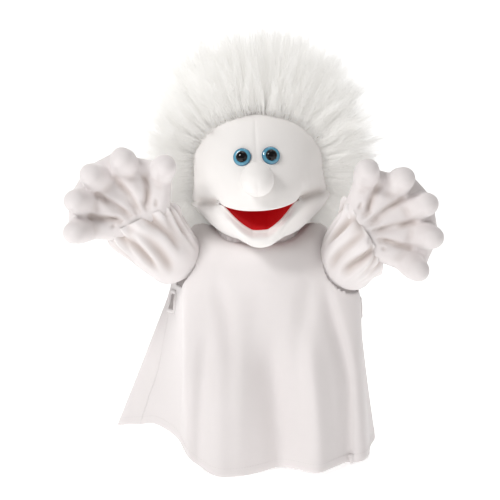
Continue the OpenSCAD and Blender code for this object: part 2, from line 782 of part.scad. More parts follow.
robe_front();
robe_back();
hem_front();
hem_back();
slot_binding(-1);  // right_slot_binding
slot_binding(1);  // left_slot_binding
neck_sleeve();
neck_binding();
neck_collar();
neck_elastic();
face(-1);  // face_right
face(1);  // face_left
hair_backing(-1);  // hair_backing_right
hair_backing(1);  // hair_backing_left
fur(-1);  // fur_right
fur(1);  // fur_left
face_stuffing();
crown_stuffing();
upper_mouth_plate();
upper_mouth_lining();
finger_pocket();
nose_cover(-1);  // nose_cover_right
nose_cover(1);  // nose_cover_left
nose_stuffing();
eye_iris(-1);  // right_eye_iris
eye_pupil(-1);  // right_eye_pupil
eye_washer(-1);  // right_eye_washer
eye_iris(1);  // left_eye_iris
eye_pupil(1);  // left_eye_pupil
eye_washer(1);  // left_eye_washer
chin(-1);  // chin_right
chin(1);  // chin_left
lower_mouth_plate();
lower_mouth_lining();
thumb_pocket();
sleeve(0);  // right_sleeve
sleeve(1);  // left_sleeve
wrist_elastic(0);  // right_wrist_elastic
wrist_elastic(1);  // left_wrist_elastic
palm(0);  // right_palm
palm(1);  // left_palm
hand_back(0);  // right_hand_back
hand_back(1);  // left_hand_back
digit(0, 0);  // right_thumb
digit(0, 1);  // right_index
digit(0, 2);  // right_middle
digit(0, 3);  // right_ring
digit(0, 4);  // right_little
digit(1, 0);  // left_thumb
digit(1, 1);  // left_index
digit(1, 2);  // left_middle
digit(1, 3);  // left_ring
digit(1, 4);  // left_little
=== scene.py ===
"""Looks of a plush hand puppet: a furry head with a moving mouth, a bell-shaped robe and two
gloves. It is laid out as an add-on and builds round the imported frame, in millimetres."""

import json
import math

import bmesh
import bpy
import numpy as np
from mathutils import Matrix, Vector


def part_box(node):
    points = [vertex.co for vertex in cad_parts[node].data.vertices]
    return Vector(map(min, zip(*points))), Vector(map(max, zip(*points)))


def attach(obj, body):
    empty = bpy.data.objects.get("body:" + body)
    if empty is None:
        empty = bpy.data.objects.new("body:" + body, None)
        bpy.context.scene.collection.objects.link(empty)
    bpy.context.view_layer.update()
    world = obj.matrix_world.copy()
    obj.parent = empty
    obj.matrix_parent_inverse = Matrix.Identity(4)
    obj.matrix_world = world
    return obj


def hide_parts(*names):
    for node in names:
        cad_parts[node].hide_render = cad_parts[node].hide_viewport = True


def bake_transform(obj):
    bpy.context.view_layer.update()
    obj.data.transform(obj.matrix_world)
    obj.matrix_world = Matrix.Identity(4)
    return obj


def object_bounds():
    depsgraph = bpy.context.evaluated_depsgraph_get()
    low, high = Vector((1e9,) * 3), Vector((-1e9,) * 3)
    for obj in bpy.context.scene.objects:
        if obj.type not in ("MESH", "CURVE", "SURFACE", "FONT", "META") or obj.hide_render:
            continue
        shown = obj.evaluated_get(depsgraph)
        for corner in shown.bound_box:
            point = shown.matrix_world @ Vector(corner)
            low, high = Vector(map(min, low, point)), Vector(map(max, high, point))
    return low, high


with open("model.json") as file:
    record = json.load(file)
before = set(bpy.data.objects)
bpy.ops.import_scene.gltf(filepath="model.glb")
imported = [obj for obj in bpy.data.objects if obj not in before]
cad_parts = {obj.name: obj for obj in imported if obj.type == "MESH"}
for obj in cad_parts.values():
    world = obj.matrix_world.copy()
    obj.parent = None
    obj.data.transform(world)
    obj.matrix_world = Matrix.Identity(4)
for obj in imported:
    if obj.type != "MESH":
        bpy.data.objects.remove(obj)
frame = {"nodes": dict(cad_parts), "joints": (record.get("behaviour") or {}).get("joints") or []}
CAD_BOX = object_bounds()

bl_info = {
    "name": "Plush hand puppet",
    "version": (1, 0, 0),
    "blender": (4, 5, 0),
    "location": "3D View > Sidebar > Puppet",
    "description": "Builds a furry-headed plush hand puppet round its frame",
    "category": "Object",
}

MM = 0.001
UP = np.array([0, 0, 1.0])
FRONT = np.array([0, -1.0, 0])
BACK = np.array([0, 1.0, 0])
SIDES = ("right", "left")
DIGITS = ("thumb", "index", "middle", "ring", "little")

# ---------------------------------------------------------------- numbers and curves


def unit(v):
    """v at length one, along its last axis."""
    v = np.asarray(v, float)
    return v / np.maximum(np.linalg.norm(v, axis=-1, keepdims=True), 1e-9)


def mix(a, b, t):
    return a * (1 - t) + b * t


def ramp(x, low, high):
    """0 before low, 1 after high, smooth between."""
    t = np.clip((np.asarray(x, float) - low) / (high - low), 0, 1)
    return t * t * (3 - 2 * t)


def stack(x, y, z):
    return np.stack(np.broadcast_arrays(x, y, z), axis=-1).astype(float)


def chance(points, salt=0.0):
    """A fixed random number from 0 to 1 for each point."""
    mixed = np.sin(points @ np.array([12.9898, 78.233, 37.719]) + salt * 17.13) * 43758.5453
    return mixed - np.floor(mixed)


def profile(table, column=1):
    """A smooth curve through a table's first column and another, with no overshoot."""
    xs = np.array([row[0] for row in table], float)
    ys = np.array([row[column] for row in table], float)
    slope = np.diff(ys) / np.diff(xs)
    bend = np.zeros(len(xs))
    bend[0], bend[-1] = slope[0], slope[-1]
    same = slope[:-1] * slope[1:] > 0
    total = np.where(same, slope[:-1] + slope[1:], 1)
    bend[1:-1] = np.where(same, 2 * slope[:-1] * slope[1:] / total, 0)

    def at(x):
        x = np.clip(x, xs[0], xs[-1])
        i = np.clip(np.searchsorted(xs, x) - 1, 0, len(xs) - 2)
        h = xs[i + 1] - xs[i]
        t = (x - xs[i]) / h
        return (
            ys[i] * (1 + 2 * t) * (1 - t) ** 2
            + ys[i + 1] * t * t * (3 - 2 * t)
            + h * bend[i] * t * (1 - t) ** 2
            - h * bend[i + 1] * t * t * (1 - t)
        )

    return at


def spline(points, samples, closed=False):
    """Points of a smooth curve through the given ones, at samples from 0 to 1."""
    points = np.asarray(points, float)
    n = len(points)
    spans = n if closed else n - 1
    t = np.asarray(samples, float) * spans
    i = np.clip(np.floor(t).astype(int), 0, spans - 1)
    f = (t - i).reshape((-1,) + (1,) * (points.ndim - 1))

    def at(k):
        return points[k % n] if closed else points[np.clip(k, 0, n - 1)]

    a, b, c, d = at(i - 1), at(i), at(i + 1), at(i + 2)
    return 0.5 * (2 * b + (c - a) * f + (2 * a - 5 * b + 4 * c - d) * f**2
                  + (3 * b - a - 3 * c + d) * f**3)


def distance_to_path(points, path):
    """Distance of each point from a line through several points, and how far along it is."""
    points, path = np.asarray(points, float), np.asarray(path, float)
    best, along = np.full(len(points), 1e9), np.zeros(len(points))
    for k in range(len(path) - 1):
        a, d = path[k], path[k + 1] - path[k]
        t = np.clip((points - a) @ d / max(d @ d, 1e-9), 0, 1)
        far = np.linalg.norm(points - a - t[:, None] * d, axis=1)
        closer = far < best
        best = np.where(closer, far, best)
        along = np.where(closer, (k + t) / (len(path) - 1), along)
    return best, along


def folded(points, normals, folds):
    """points, with each fold pressed in or raised along its path: (path, depth, width)."""
    for path, depth, width in folds:
        far, along = distance_to_path(points, path)
        fade = np.minimum(1, 4 * np.minimum(along, 1 - along) + 0.25)
        points = points - normals * (depth * fade * np.exp(-((far / width) ** 2)))[:, None]
    return points


def crease_shade(points, folds):
    """How much painted shade each point gets from the creases it lies in, from 0 to 1; the cloth's
    colour is darkened by it to stand in for the shade in the folds.
    """
    share = np.zeros(len(points))
    for path, depth, width in folds:
        if depth > 0:
            far, along = distance_to_path(points, path)
            fade = np.minimum(1, 4 * np.minimum(along, 1 - along) + 0.25)
            share = np.maximum(share, min(1.0, depth / 4.5) * fade
                               * np.exp(-((far / (width * 1.25)) ** 2)))
    return share


# ---------------------------------------------------------------- meshes


def mark(mesh, name, values):
    """Stores one number for each point of a mesh, for its material to read."""
    mesh.attributes.new(name, "FLOAT", "POINT").data.foreach_set(
        "value", np.asarray(values, np.float32).ravel())


def grid_faces(rows, cols, closed=False, start=0):
    faces = []
    for i in range(rows - 1):
        for j in range(cols if closed else cols - 1):
            k = (j + 1) % cols
            faces.append((start + i * cols + j, start + i * cols + k,
                          start + (i + 1) * cols + k, start + (i + 1) * cols + j))
    return faces


def new_object(name, points, faces, material, weld=0.0, centre=None):
    """A smooth mesh object from points in millimetres. Its faces turn away from centre."""
    mesh = bpy.data.meshes.new(name)
    mesh.from_pydata((np.asarray(points, float).reshape(-1, 3) * MM).tolist(), [], faces)
    bm = bmesh.new()
    bm.from_mesh(mesh)
    if weld:
        bmesh.ops.remove_doubles(bm, verts=bm.verts, dist=weld * MM)
    bmesh.ops.recalc_face_normals(bm, faces=bm.faces)
    if centre is not None:
        middle = Vector(centre) * MM
        lean = sum((f.calc_center_median() - middle).dot(f.normal) * f.calc_area()
                   for f in bm.faces)
        if lean < 0:
            bmesh.ops.reverse_faces(bm, faces=bm.faces)
    bm.to_mesh(mesh)
    bm.free()
    mesh.shade_smooth()
    obj = bpy.data.objects.new(name, mesh)
    bpy.context.scene.collection.objects.link(obj)
    if material:
        mesh.materials.append(material)
    return obj


def mesh_points(mesh):
    co = np.zeros(len(mesh.vertices) * 3, np.float32)
    mesh.vertices.foreach_get("co", co)
    return co.reshape(-1, 3).astype(float) / MM


def mesh_normals(mesh):
    out = np.zeros(len(mesh.vertices) * 3, np.float32)
    mesh.vertex_normals.foreach_get("vector", out)
    return out.reshape(-1, 3).astype(float)


def move_points(obj, points):
    obj.data.vertices.foreach_set("co", (points * MM).astype(np.float32).ravel())
    obj.data.update()


def modifier(obj, kind, **settings):
    made = obj.modifiers.new(kind.title(), kind)
    for key, value in settings.items():
        setattr(made, key, value)
    return made


def bake(obj):
    """Turns the object's modifiers into plain mesh."""
    graph = bpy.context.evaluated_depsgraph_get()
    graph.update()
    mesh = bpy.data.meshes.new_from_object(obj.evaluated_get(graph))
    obj.modifiers.clear()
    old = obj.data
    obj.data = mesh
    bpy.data.meshes.remove(old)
    mesh.shade_smooth()
    return obj


def thicken(obj, thickness):
    modifier(obj, "SOLIDIFY", thickness=thickness * MM, offset=-1.0, use_even_offset=False)


def capsule(a, b, ra, rb, sides=20, caps=5):
    """Rings of points of a rounded bar from a to b, and its faces."""
    a, b = np.asarray(a, float), np.asarray(b, float)
    axis = unit(b - a)
    across = unit(np.cross(axis, [0.31, 0.87, 0.38]))
    other = np.cross(axis, across)
    turn = np.linspace(0, 2 * np.pi, sides, endpoint=False)
    circle = np.cos(turn)[:, None] * across + np.sin(turn)[:, None] * other
    lift = np.linspace(-np.pi / 2, 0, caps)
    rows = [a + axis * ra * math.sin(q) + circle * ra * max(math.cos(q), 1e-4) for q in lift]
    rows += [b + axis * rb * math.sin(q) + circle * rb * max(math.cos(q), 1e-4) for q in -lift[::-1]]
    points = np.concatenate(rows)
    faces = grid_faces(len(rows), sides, True)
    faces += [tuple(range(sides))[::-1], tuple(range(len(points) - sides, len(points)))]
    return points, faces


def joined(parts):
    """One list of points and faces from several."""
    points, faces, count = [], [], 0
    for p, f in parts:
        p = np.asarray(p, float).reshape(-1, 3)
        points.append(p)
        faces += [tuple(i + count for i in face) for face in f]
        count += len(p)
    return np.concatenate(points), faces


# ---------------------------------------------------------------- the frame


def joint(name):
    found = next(j for j in frame["joints"] if j["name"] == name)
    return np.array(found["pos_m"]) / MM, np.array(found["axis"], float)


NOD, NOD_AXIS = joint("head_nod")
HINGE, HINGE_AXIS = joint("jaw_open")
HEAD_Y = unit([-NOD_AXIS[1], NOD_AXIS[0], 0])
HEAD_TURN = np.stack([unit(HINGE_AXIS), HEAD_Y, unit(np.cross(HINGE_AXIS, HEAD_Y))], axis=1)
# The head's own frame stands upright over the same nod height
HEAD_ORIGIN = np.array([0, 0, NOD[2]])


def from_head(points):
    return (np.asarray(points, float) - HEAD_ORIGIN) @ HEAD_TURN.T + NOD


def to_head(points):
    return (np.asarray(points, float) - NOD) @ HEAD_TURN + HEAD_ORIGIN


def node_middle(node):
    low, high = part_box(node)
    return np.array((low + high) / 2) / MM


def settings():
    return bpy.context.scene.puppet


def finish(name):
    return bpy.data.materials[name]


# ---------------------------------------------------------------- shader writing


class Value:
    """A number in a shader. Arithmetic on it adds Math nodes."""

    def __init__(self, shader, socket):
        self.shader, self.socket = shader, socket

    def _math(self, operation, other, swap=False):
        pair = (other, self) if swap else (self, other)
        return self.shader.node("ShaderNodeMath", {"operation": operation}, {0: pair[0], 1: pair[1]})

    def __add__(self, other):
        return self._math("ADD", other)

    def __sub__(self, other):
        return self._math("SUBTRACT", other)

    def __rsub__(self, other):
        return self._math("SUBTRACT", other, True)

    def __mul__(self, other):
        return self._math("MULTIPLY", other)

    def __pow__(self, other):
        return self._math("POWER", other)

    __radd__, __rmul__ = __add__, __mul__


class Shader:
    """A material whose nodes are added by one method."""

    def __init__(self, name):
        self.material = bpy.data.materials.new(name)
        self.material.use_nodes = True
        self.tree = self.material.node_tree
        self.tree.nodes.clear()

    def node(self, kind, options=None, inputs=None, output=0):
        made = self.tree.nodes.new(kind)
        for key, value in (options or {}).items():
            setattr(made, key, value)
        for key, value in (inputs or {}).items():
            socket = made.inputs[key]
            if isinstance(value, Value):
                self.tree.links.new(value.socket, socket)
            else:
                socket.default_value = value
        return Value(self, made.outputs[output])

    def place(self):
        return self.node("ShaderNodeTexCoord", output="Object")

    def attribute(self, name):
        return self.node("ShaderNodeAttribute", {"attribute_name": name}, output="Fac")

    def noise(self, scale, detail=2.0, roughness=0.5, distortion=0.0):
        """Noise with a grain of about 1000 / scale millimetres."""
        return self.node("ShaderNodeTexNoise", {}, {
            "Vector": self.place(), "Scale": scale, "Detail": detail,
            "Roughness": roughness, "Distortion": distortion})

    def between(self, low, high, share):
        low, high = (c if isinstance(c, Value) else (*c, 1) for c in (low, high))
        return self.node("ShaderNodeMix", {"data_type": "RGBA"},
                         {0: share, 6: low, 7: high}, output=2)

    def bump(self, height, distance, strength=1.0):
        return self.node("ShaderNodeBump", {}, {
            "Height": height, "Distance": distance * MM, "Strength": strength})

    def surface(self, **inputs):
        named = {key.replace("_", " "): value for key, value in inputs.items()}
        body = self.node("ShaderNodeBsdfPrincipled", {}, named)
        out = self.tree.nodes.new("ShaderNodeOutputMaterial")
        self.tree.links.new(body.socket, out.inputs["Surface"])
        return self.material


def darker(colour, share):
    return tuple(c * share for c in colour)


def pile_cloth(name, colour, grain, depth, patch=0.94, sheen=0.35, crease=None, painted_glow=0.0):
    """Soft cloth with a short pile: fine grain, patches where the pile is brushed, painted shade in
    creases where a crease colour is given, and painted light where it is made to glow."""
    s = Shader(name)
    fine = s.noise(grain, 3.0, 0.7)
    brushed = s.noise(45.0, 3.0, 0.6, 0.6)
    height = fine + brushed * 1.4
    base = s.between(darker(colour, patch), colour, fine * 0.45 + brushed * 0.55)
    # painted shade: the crease colour is mixed in where the points' crease attribute marks a fold
    if crease:
        base = s.between(base, crease, s.attribute("crease"))
    return s.surface(
        Base_Color=base,
        Roughness=0.9,
        Sheen_Weight=sheen,
        Sheen_Roughness=0.45,
        # painted light: the cloth glows in its own colour as strongly as asked
        Emission_Color=(*colour, 1),
        Emission_Strength=painted_glow,
        Normal=s.bump(height, depth),
    )


def plain_finish(name, colour, roughness, coat=0.0):
    s = Shader(name)
    scuff = s.noise(260.0, 2.0)
    return s.surface(
        Base_Color=s.between(darker(colour, 0.9), colour, scuff),
        Roughness=scuff * 0.1 + (roughness - 0.05),
        Coat_Weight=coat,
    )


# ---------------------------------------------------------------- settings


def length(text, detail, default):
    return bpy.props.FloatProperty(name=text, description=detail, default=default * MM,
                                   unit="LENGTH", subtype="DISTANCE", precision=4)


def colour(text, detail, default):
    return bpy.props.FloatVectorProperty(name=text, description=detail, default=default,
                                         subtype="COLOR", size=3, min=0, max=1)


class PuppetColours(bpy.types.PropertyGroup):
    robe: colour("Robe", "Colour of the robe and the sleeves", (0.83, 0.79, 0.785))
    face: colour("Face", "Colour of the fleece on the face", (0.90, 0.875, 0.855))
    glove: colour("Gloves", "Colour of the velour on the gloves", (0.82, 0.775, 0.77))
    hair: colour("Fur", "Colour of the fur at its tips", (0.95, 0.945, 0.925))
    # the fur's root colour is darker than its tips: painted shade deep in the pile
    hair_root_shade: colour("Fur root", "Colour of the fur at its roots", (0.84, 0.825, 0.80))
    # painted shade: this colour is mixed into the cloth in its creases
    crease: colour("Creases", "Colour deep in the creases of the cloth", (0.50, 0.42, 0.38))
    mouth: colour("Mouth", "Colour of the mouth's lining", (0.62, 0.003, 0.008))
    iris: colour("Iris", "Colour of the eyes", (0.10, 0.36, 0.52))
    iris_rim: colour("Iris rim", "Colour of the eyes at their rim", (0.03, 0.13, 0.22))
    pupil: colour("Pupil", "Colour of the pupils", (0.004, 0.004, 0.005))
    lining: colour("Inner cloth", "Colour of the cloth inside the head", (0.72, 0.70, 0.68))


class PuppetHead(bpy.types.PropertyGroup):
    width: length("Width", "Width of the head across the cheeks", 164)
    height: length("Height", "Height of the head from its rim to the crown", 158)
    muzzle: length("Muzzle", "Depth of the head from its middle to the upper lip", 108)
    back: length("Back", "Depth of the head from its middle to the back", 82)
    lip: length("Lip roll", "Radius of the rolled lips", 2.6)
    fleece: length("Fleece", "Thickness of the fleece", 2.2)


class PuppetFur(bpy.types.PropertyGroup):
    strands: bpy.props.IntProperty(name="Strands", description="Number of strands of fur",
                                   default=58000, min=100, max=60000)
    length: length("Length", "Length of the fur on the crown", 86)
    radius: length("Strand radius", "Radius of a strand at its root", 0.24)
    clump: length("Tuft", "Width of the tufts that the strands gather in", 8.0)
    seed: bpy.props.IntProperty(name="Seed", description="Seed of the strands' places", default=7)


class PuppetCloth(bpy.types.PropertyGroup):
    thickness: length("Cloth", "Thickness of the robe's cloth", 1.4)
    hem: length("Hem", "Height of the folded hem", 9.5)
    stitch: length("Stitch", "Length of a stitch", 2.4)
    stitch_gap: length("Stitch pitch", "Distance from one stitch to the next", 3.4)
    thread: length("Thread", "Radius of the sewing thread", 0.22)


class PuppetGlove(bpy.types.PropertyGroup):
    digit: length("Digit", "Radius of a stuffed digit", 14.8)
    thumb: length("Thumb", "Radius of a thumb", 14.5)
    grain: length("Mesh grain", "Grain of the glove's mesh", 1.9)


class PuppetSettings(bpy.types.PropertyGroup):
    colours: bpy.props.PointerProperty(type=PuppetColours)
    head: bpy.props.PointerProperty(type=PuppetHead)
    fur: bpy.props.PointerProperty(type=PuppetFur)
    cloth: bpy.props.PointerProperty(type=PuppetCloth)
    glove: bpy.props.PointerProperty(type=PuppetGlove)


# ---------------------------------------------------------------- head surface

# Height share over the rim, then shares of half width, front depth, back depth and pinch
HEAD_LEVELS = [
    (0.00, 0.69, 0.84, 0.69, 0.10), (0.05, 0.78, 0.90, 0.76, 0.14),
    (0.13, 0.88, 0.97, 0.86, 0.18), (0.23, 0.97, 0.98, 0.94, 0.17),
    (0.36, 1.00, 0.92, 1.00, 0.10), (0.51, 1.00, 0.84, 1.00, 0.02),
    (0.67, 0.92, 0.77, 0.91, 0.00), (0.79, 0.78, 0.66, 0.76, 0.00),
    (0.90, 0.58, 0.49, 0.56, 0.00), (0.965, 0.37, 0.31, 0.36, 0.00),
    (1.00, 0.00, 0.00, 0.00, 0.00)]
SEAM = [(0.0, 92), (0.2, 88), (0.32, 76), (0.5, 62), (0.62, 50), (0.72, 34), (0.79, 0)]
RIM_Z = 32.0
HEAD_MID_Y = -2.0
BROW = 0.79
MOUTH_SLOPE = math.radians(12)
GAPE = math.radians(19)
CORNER = 50.0


def head_point(z, angle, inset=0.0):
    """Point of the head's skin in its own frame, at a height and an angle from the front,
    which is positive towards the puppet's right."""
    head = settings().head
    share = (np.asarray(z, float) - RIM_Z) / (head.height / MM)
    half = head.width / MM / 2
    a = np.radians(angle)
    width = profile(HEAD_LEVELS, 1)(share) * half
    front = profile(HEAD_LEVELS, 2)(share) * head.muzzle / MM
    back = profile(HEAD_LEVELS, 3)(share) * head.back / MM
    ahead = np.cos(a) > 0
    pinch = np.where(ahead, profile(HEAD_LEVELS, 4)(share) * half, 0)
    x = -(width * np.sin(a) - 1.15 * pinch * np.sin(2 * a) * np.abs(np.sin(a)))
    y = np.where(ahead, -front * np.cos(a), -back * np.cos(a))
    r = np.maximum(np.hypot(x, y), 0.001)
    k = np.maximum(r - inset, 0) / r
    return stack(x * k, HEAD_MID_Y + y * k, z)


def seam_angle(z):
    return profile(SEAM)((np.asarray(z, float) - RIM_Z) / (settings().head.height / MM))


def lip_height(angle):
    """Height of the upper lip, and of the cheek crease behind the mouth's corner."""
    hinge = to_head(HINGE)
    z = np.full(np.shape(angle), 60.0)
    for _ in range(6):
        y = head_point(z, angle)[..., 1]
        z = hinge[2] + (y - hinge[1]) * math.tan(MOUTH_SLOPE) + 2.2
    crease = np.where(np.asarray(angle) > 0, 61.0, 67.0)
    return mix(z, crease, ramp(np.abs(angle), CORNER + 4, 84))


def gape(angle):
    """How far open the mouth is at an angle, from 1 in the middle to 0 at the corners."""
    t = np.clip((CORNER - np.abs(angle)) / (CORNER - 7), 0, 1)
    return t * (1.12 - 0.12 * t)


def lower_lip(angle):
    """The lower lip: the upper one, turned down about the hinge."""
    hinge = to_head(HINGE)
    open_share = np.minimum(gape(angle), 1)
    lip = head_point(lip_height(angle), angle)
    down = open_share * GAPE
    reach = mix(1.0, 0.95, open_share)
    y, z = (lip[..., 1] - hinge[1]) * reach, (lip[..., 2] - hinge[2]) * reach
    return stack(lip[..., 0], hinge[1] + y * np.cos(down) - z * np.sin(down),
                 hinge[2] + y * np.sin(down) + z * np.cos(down) - 1.5 * open_share)


# Height of the jaw's lower outline against the angle from the front
JAW_BOTTOM = [(0, 11.5), (7, 13), (18, 21), (31, 32), (45, 38), (60, 42), (78, 47), (100, 52)]


def sideways(points):
    """Horizontal direction from the head's middle to each point."""
    flat = points - np.array([0, HEAD_MID_Y, 0])
    flat = flat * np.array([1, 1, 0])
    return unit(flat)


def head_skin():
    """Rows of the face, from the brow over the upper lip, and of the chin below it."""
    sizes = settings().head
    across = np.linspace(-1, 1, 141)
    down = np.linspace(0, 1, 46)[:, None]
    top = RIM_Z + BROW * sizes.height / MM
    edge = seam_angle(mix(top, 64.0, down)) + 7
    angle = across[None, :] * edge
    z = mix(top, lip_height(angle), down)
    face = head_point(z, angle)
    lip_angle = angle[-1]
    roll = sizes.lip / MM * (1 - ramp(np.abs(lip_angle), CORNER - 12, CORNER))
    lip = face[-1]
    inward = -sideways(lip)
    turns = np.radians(np.linspace(25, 180, 7))
    upper_roll = [lip + inward * (roll * (1 - math.cos(q)))[:, None]
                  - UP * (roll * math.sin(q))[:, None] for q in turns]
    low = lower_lip(lip_angle)
    outward = sideways(low)
    lower_roll = [low - outward * (roll * (1 - math.cos(q)))[:, None]
                  + UP * (roll * math.sin(q))[:, None] for q in turns[::-1]]
    bottom = profile(JAW_BOTTOM)(np.abs(lip_angle))
    fall = (low[:, 2] - bottom)[:, None]
    middle = np.cos(np.radians(np.clip(lip_angle, -90, 90)))[:, None]
    bulge = low + outward * (2.0 + 3.0 * middle) - UP * fall * 0.42
    keel = low - outward * (1.0 + 3.0 * (1 - middle)) - UP * fall * 0.93
    a = np.radians(lip_angle)
    neck = stack(-54 * np.sin(a), HEAD_MID_Y - 58 * np.cos(a), 17 + 20 * (1 - middle[:, 0]))
    under = mix(keel, neck, 0.45) - UP * 3.0
    chin = spline([low, bulge, keel, under, neck], np.linspace(0, 1, 30))
    return face, upper_roll, lower_roll, chin


def face_folds():
    """Creases of the face, in the head's own frame: path, depth and width."""
    folds = []
    seam = [head_point(z, 0.0) for z in np.linspace(150, 62, 12)]
    folds.append((seam, 0.9, 1.6))
    for turn, tail, drop in ((1, 60.0, 42.0), (-1, 66.0, 48.0)):
        corner = float(lip_height(np.array(turn * CORNER)))
        folds.append(([head_point(corner, turn * (CORNER - 3)),
                       head_point(mix(corner, tail, 0.5), turn * 64),
                       head_point(tail, turn * 80)], 3.6, 4.0))
        folds.append(([head_point(corner, turn * (CORNER - 1)),
                       head_point(mix(corner, drop, 0.6), turn * 57),
                       head_point(drop, turn * 59)], 2.6, 3.6))
        folds.append(([head_point(corner + 9, turn * 47),
                       head_point(corner + 19, turn * 55)], -1.3, 9.0))
    return folds


# Half width, half depth and half height of the nose
NOSE = (17.6, 17.5, 19.0)


def nose_middle():
    """Middle of the nose, pushed out of the muzzle and a little up."""
    sizes = settings().head
    root = head_point(RIM_Z + 0.33 * sizes.height / MM, 0.0)
    pitch = math.radians(15)
    return root + np.array([0, -math.cos(pitch), math.sin(pitch)]) * 15.6


def bridge_mouth(piece):
    """Bakes a piece of the mouth's place into its points."""
    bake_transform(piece)


# ---------------------------------------------------------------- operators: finishes


class PUPPET_OT_finishes(bpy.types.Operator):
    """Makes every material and gives the frame's own nodes theirs"""

    bl_idname = "puppet.finishes"
    bl_label = "Finishes"

    def execute(self, context):
        c = settings().colours
        # Robe, face and gloves are darkened to the crease colour in their creases: painted shade
        pile_cloth("Robe cloth", c.robe, 1500.0, 0.16, 0.95, crease=c.crease)
        pile_cloth("Face fleece", c.face, 1300.0, 0.2, 0.95, crease=c.crease)
        pile_cloth("Glove velour", c.glove, 1100.0, 0.24, 0.91, 0.5, crease=c.crease)
        pile_cloth("Inner cloth", c.lining, 1400.0, 0.15, 0.93, 0.1)
        # painted light: the mouth's lining glows faintly
        pile_cloth("Mouth felt", c.mouth, 900.0, 0.3, 0.80, 0.05, painted_glow=0.16)
        pile_cloth("Stuffing", darker(c.face, 0.97), 160.0, 0.9, 0.85, 0.1)
        pile_cloth("Sewing thread", darker(c.robe, 0.93), 2500.0, 0.05, 0.92, 0.1)
        plain_finish("Mouth board", (0.30, 0.30, 0.31), 0.6)
        plain_finish("Eye washer", (0.36, 0.36, 0.37), 0.4)
        self.fur(c)
        self.eyes(c)
        rest = {"elastic": "Inner cloth", "stuffing": "Stuffing", "plate": "Mouth board",
                "washer": "Eye washer", "pocket": "Inner cloth", "neck": "Inner cloth"}
        for name, node in frame["nodes"].items():
            word = next((w for w in rest if w in name), None)
            node.data.materials.clear()
            node.data.materials.append(finish(rest[word] if word else "Inner cloth"))
        return {"FINISHED"}

    def fur(self, c):
        s = Shader("Fur")
        along = s.attribute("along")
        own = s.attribute("tone")
        # painted shade: the strands run from the darker root colour at the root to the tip colour
        share = along ** 0.7 * (own * 0.35 + 0.7)
        # painted light: the fur glows faintly in near-white
        s.surface(Base_Color=s.between(c.hair_root_shade, c.hair, share), Roughness=0.62,
                  Sheen_Weight=0.3, Sheen_Roughness=0.4, Emission_Color=(1, 0.99, 0.97, 1),
                  Emission_Strength=0.17)

    def eyes(self, c):
        s = Shader("Iris")
        share = s.attribute("rim")
        flecks = s.noise(420.0, 2.0, 0.6)
        s.surface(Base_Color=s.between(c.iris, c.iris_rim, share * (flecks * 0.3 + 0.85)),
                  Roughness=0.16, Coat_Weight=1.0)
        p = Shader("Pupil")
        haze = p.noise(300.0)
        p.surface(Base_Color=(*c.pupil, 1), Roughness=haze * 0.02 + 0.05,
                  Specular_IOR_Level=0.35)


# ---------------------------------------------------------------- operators: head


class PUPPET_OT_face(bpy.types.Operator):
    """Makes the fleece skin of the face and the chin, with its rolled lips"""

    bl_idname = "puppet.face"
    bl_label = "Face and chin"

    def execute(self, context):
        face, upper_roll, lower_roll, chin = head_skin()
        above = np.concatenate([face, np.array(upper_roll)])
        below = np.concatenate([np.array(lower_roll), chin])
        cols = above.shape[1]
        points = np.concatenate([above.reshape(-1, 3), below.reshape(-1, 3)])
        faces = grid_faces(len(above), cols)
        faces += grid_faces(len(below), cols, start=above.shape[0] * cols)
        skin = new_object("face_skin", points, faces, finish("Face fleece"), weld=0.02,
                          centre=(0, -20, 70))
        at = mesh_points(skin.data)
        at = folded(at, mesh_normals(skin.data), face_folds())
        near = np.exp(-((np.linalg.norm(at - nose_middle(), axis=1) / 24) ** 2))
        at = at + sideways(at) * (near * 2.5)[:, None]
        for angle, drop in ((9.0, 5.0), (1.8, 6.0), (-4.5, 4.0)):
            lip = lower_lip(np.array(angle))
            at = folded(at, sideways(at), [([lip, lip - np.array([0, -1, drop])], 0.6, 1.1)])
        # painted shade: the creases round the mouth's corners, not the middle seam, are marked for
        # the fleece to darken
        mark(skin.data, "crease", 0.6 * crease_shade(mesh_points(skin.data), face_folds()[1:]))
        move_points(skin, at)
        modifier(skin, "SMOOTH", factor=0.5, iterations=2)
        cheeks = skin.vertex_groups.new(name="cheeks")
        soft = ramp(np.abs(at[:, 0]), 56, 74) * ramp(at[:, 2], 88, 74)
        for i in np.nonzero(soft > 0.01)[0]:
            cheeks.add([int(i)], float(soft[i]), "REPLACE")
        modifier(skin, "LAPLACIANSMOOTH", iterations=10, lambda_factor=0.6,
                 vertex_group="cheeks", use_volume_preserve=False)
        bake(skin)
        move_points(skin, from_head(mesh_points(skin.data)))
        thicken(skin, settings().head.fleece / MM)
        bridge_mouth(skin)
        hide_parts("face_right", "face_left", "chin_right", "chin_left")
        return {"FINISHED"}


class PUPPET_OT_mouth(bpy.types.Operator):
    """Makes the mouth's red lining, one sheet folded at the hinge"""

    bl_idname = "puppet.mouth"
    bl_label = "Mouth lining"

    def execute(self, context):
        hinge = to_head(HINGE)
        angle = np.linspace(-CORNER + 0.5, CORNER - 0.5, 61)
        lip = head_point(lip_height(angle), angle, 3.2) - UP * 0.8
        low = lower_lip(angle)
        low = low - sideways(low) * 3.2 + UP * 0.3
        share = np.minimum(gape(angle), 1)[:, None]
        crease = stack(lip[:, 0] * 0.9, hinge[1], hinge[2]) + UP * 2.0
        back = crease - UP * 4.0
        fold = crease + np.array([0, 3.0, -2.0])
        steps = np.linspace(0, 1, 16)
        rows = [mix(lip, crease, t) for t in steps]
        rows += [fold]
        rows += [mix(back, low, t) - UP * (2.5 * math.sin(math.pi * t)) * share for t in steps]
        points = np.array(rows)
        mesh = new_object("mouth_lining", points, grid_faces(len(points), len(angle)),
                          finish("Mouth felt"), weld=0.01)
        move_points(mesh, from_head(mesh_points(mesh.data)))
        thicken(mesh, 0.8)
        bridge_mouth(mesh)
        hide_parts("upper_mouth_lining", "lower_mouth_lining", "upper_mouth_plate",
                    "lower_mouth_plate")
        return {"FINISHED"}


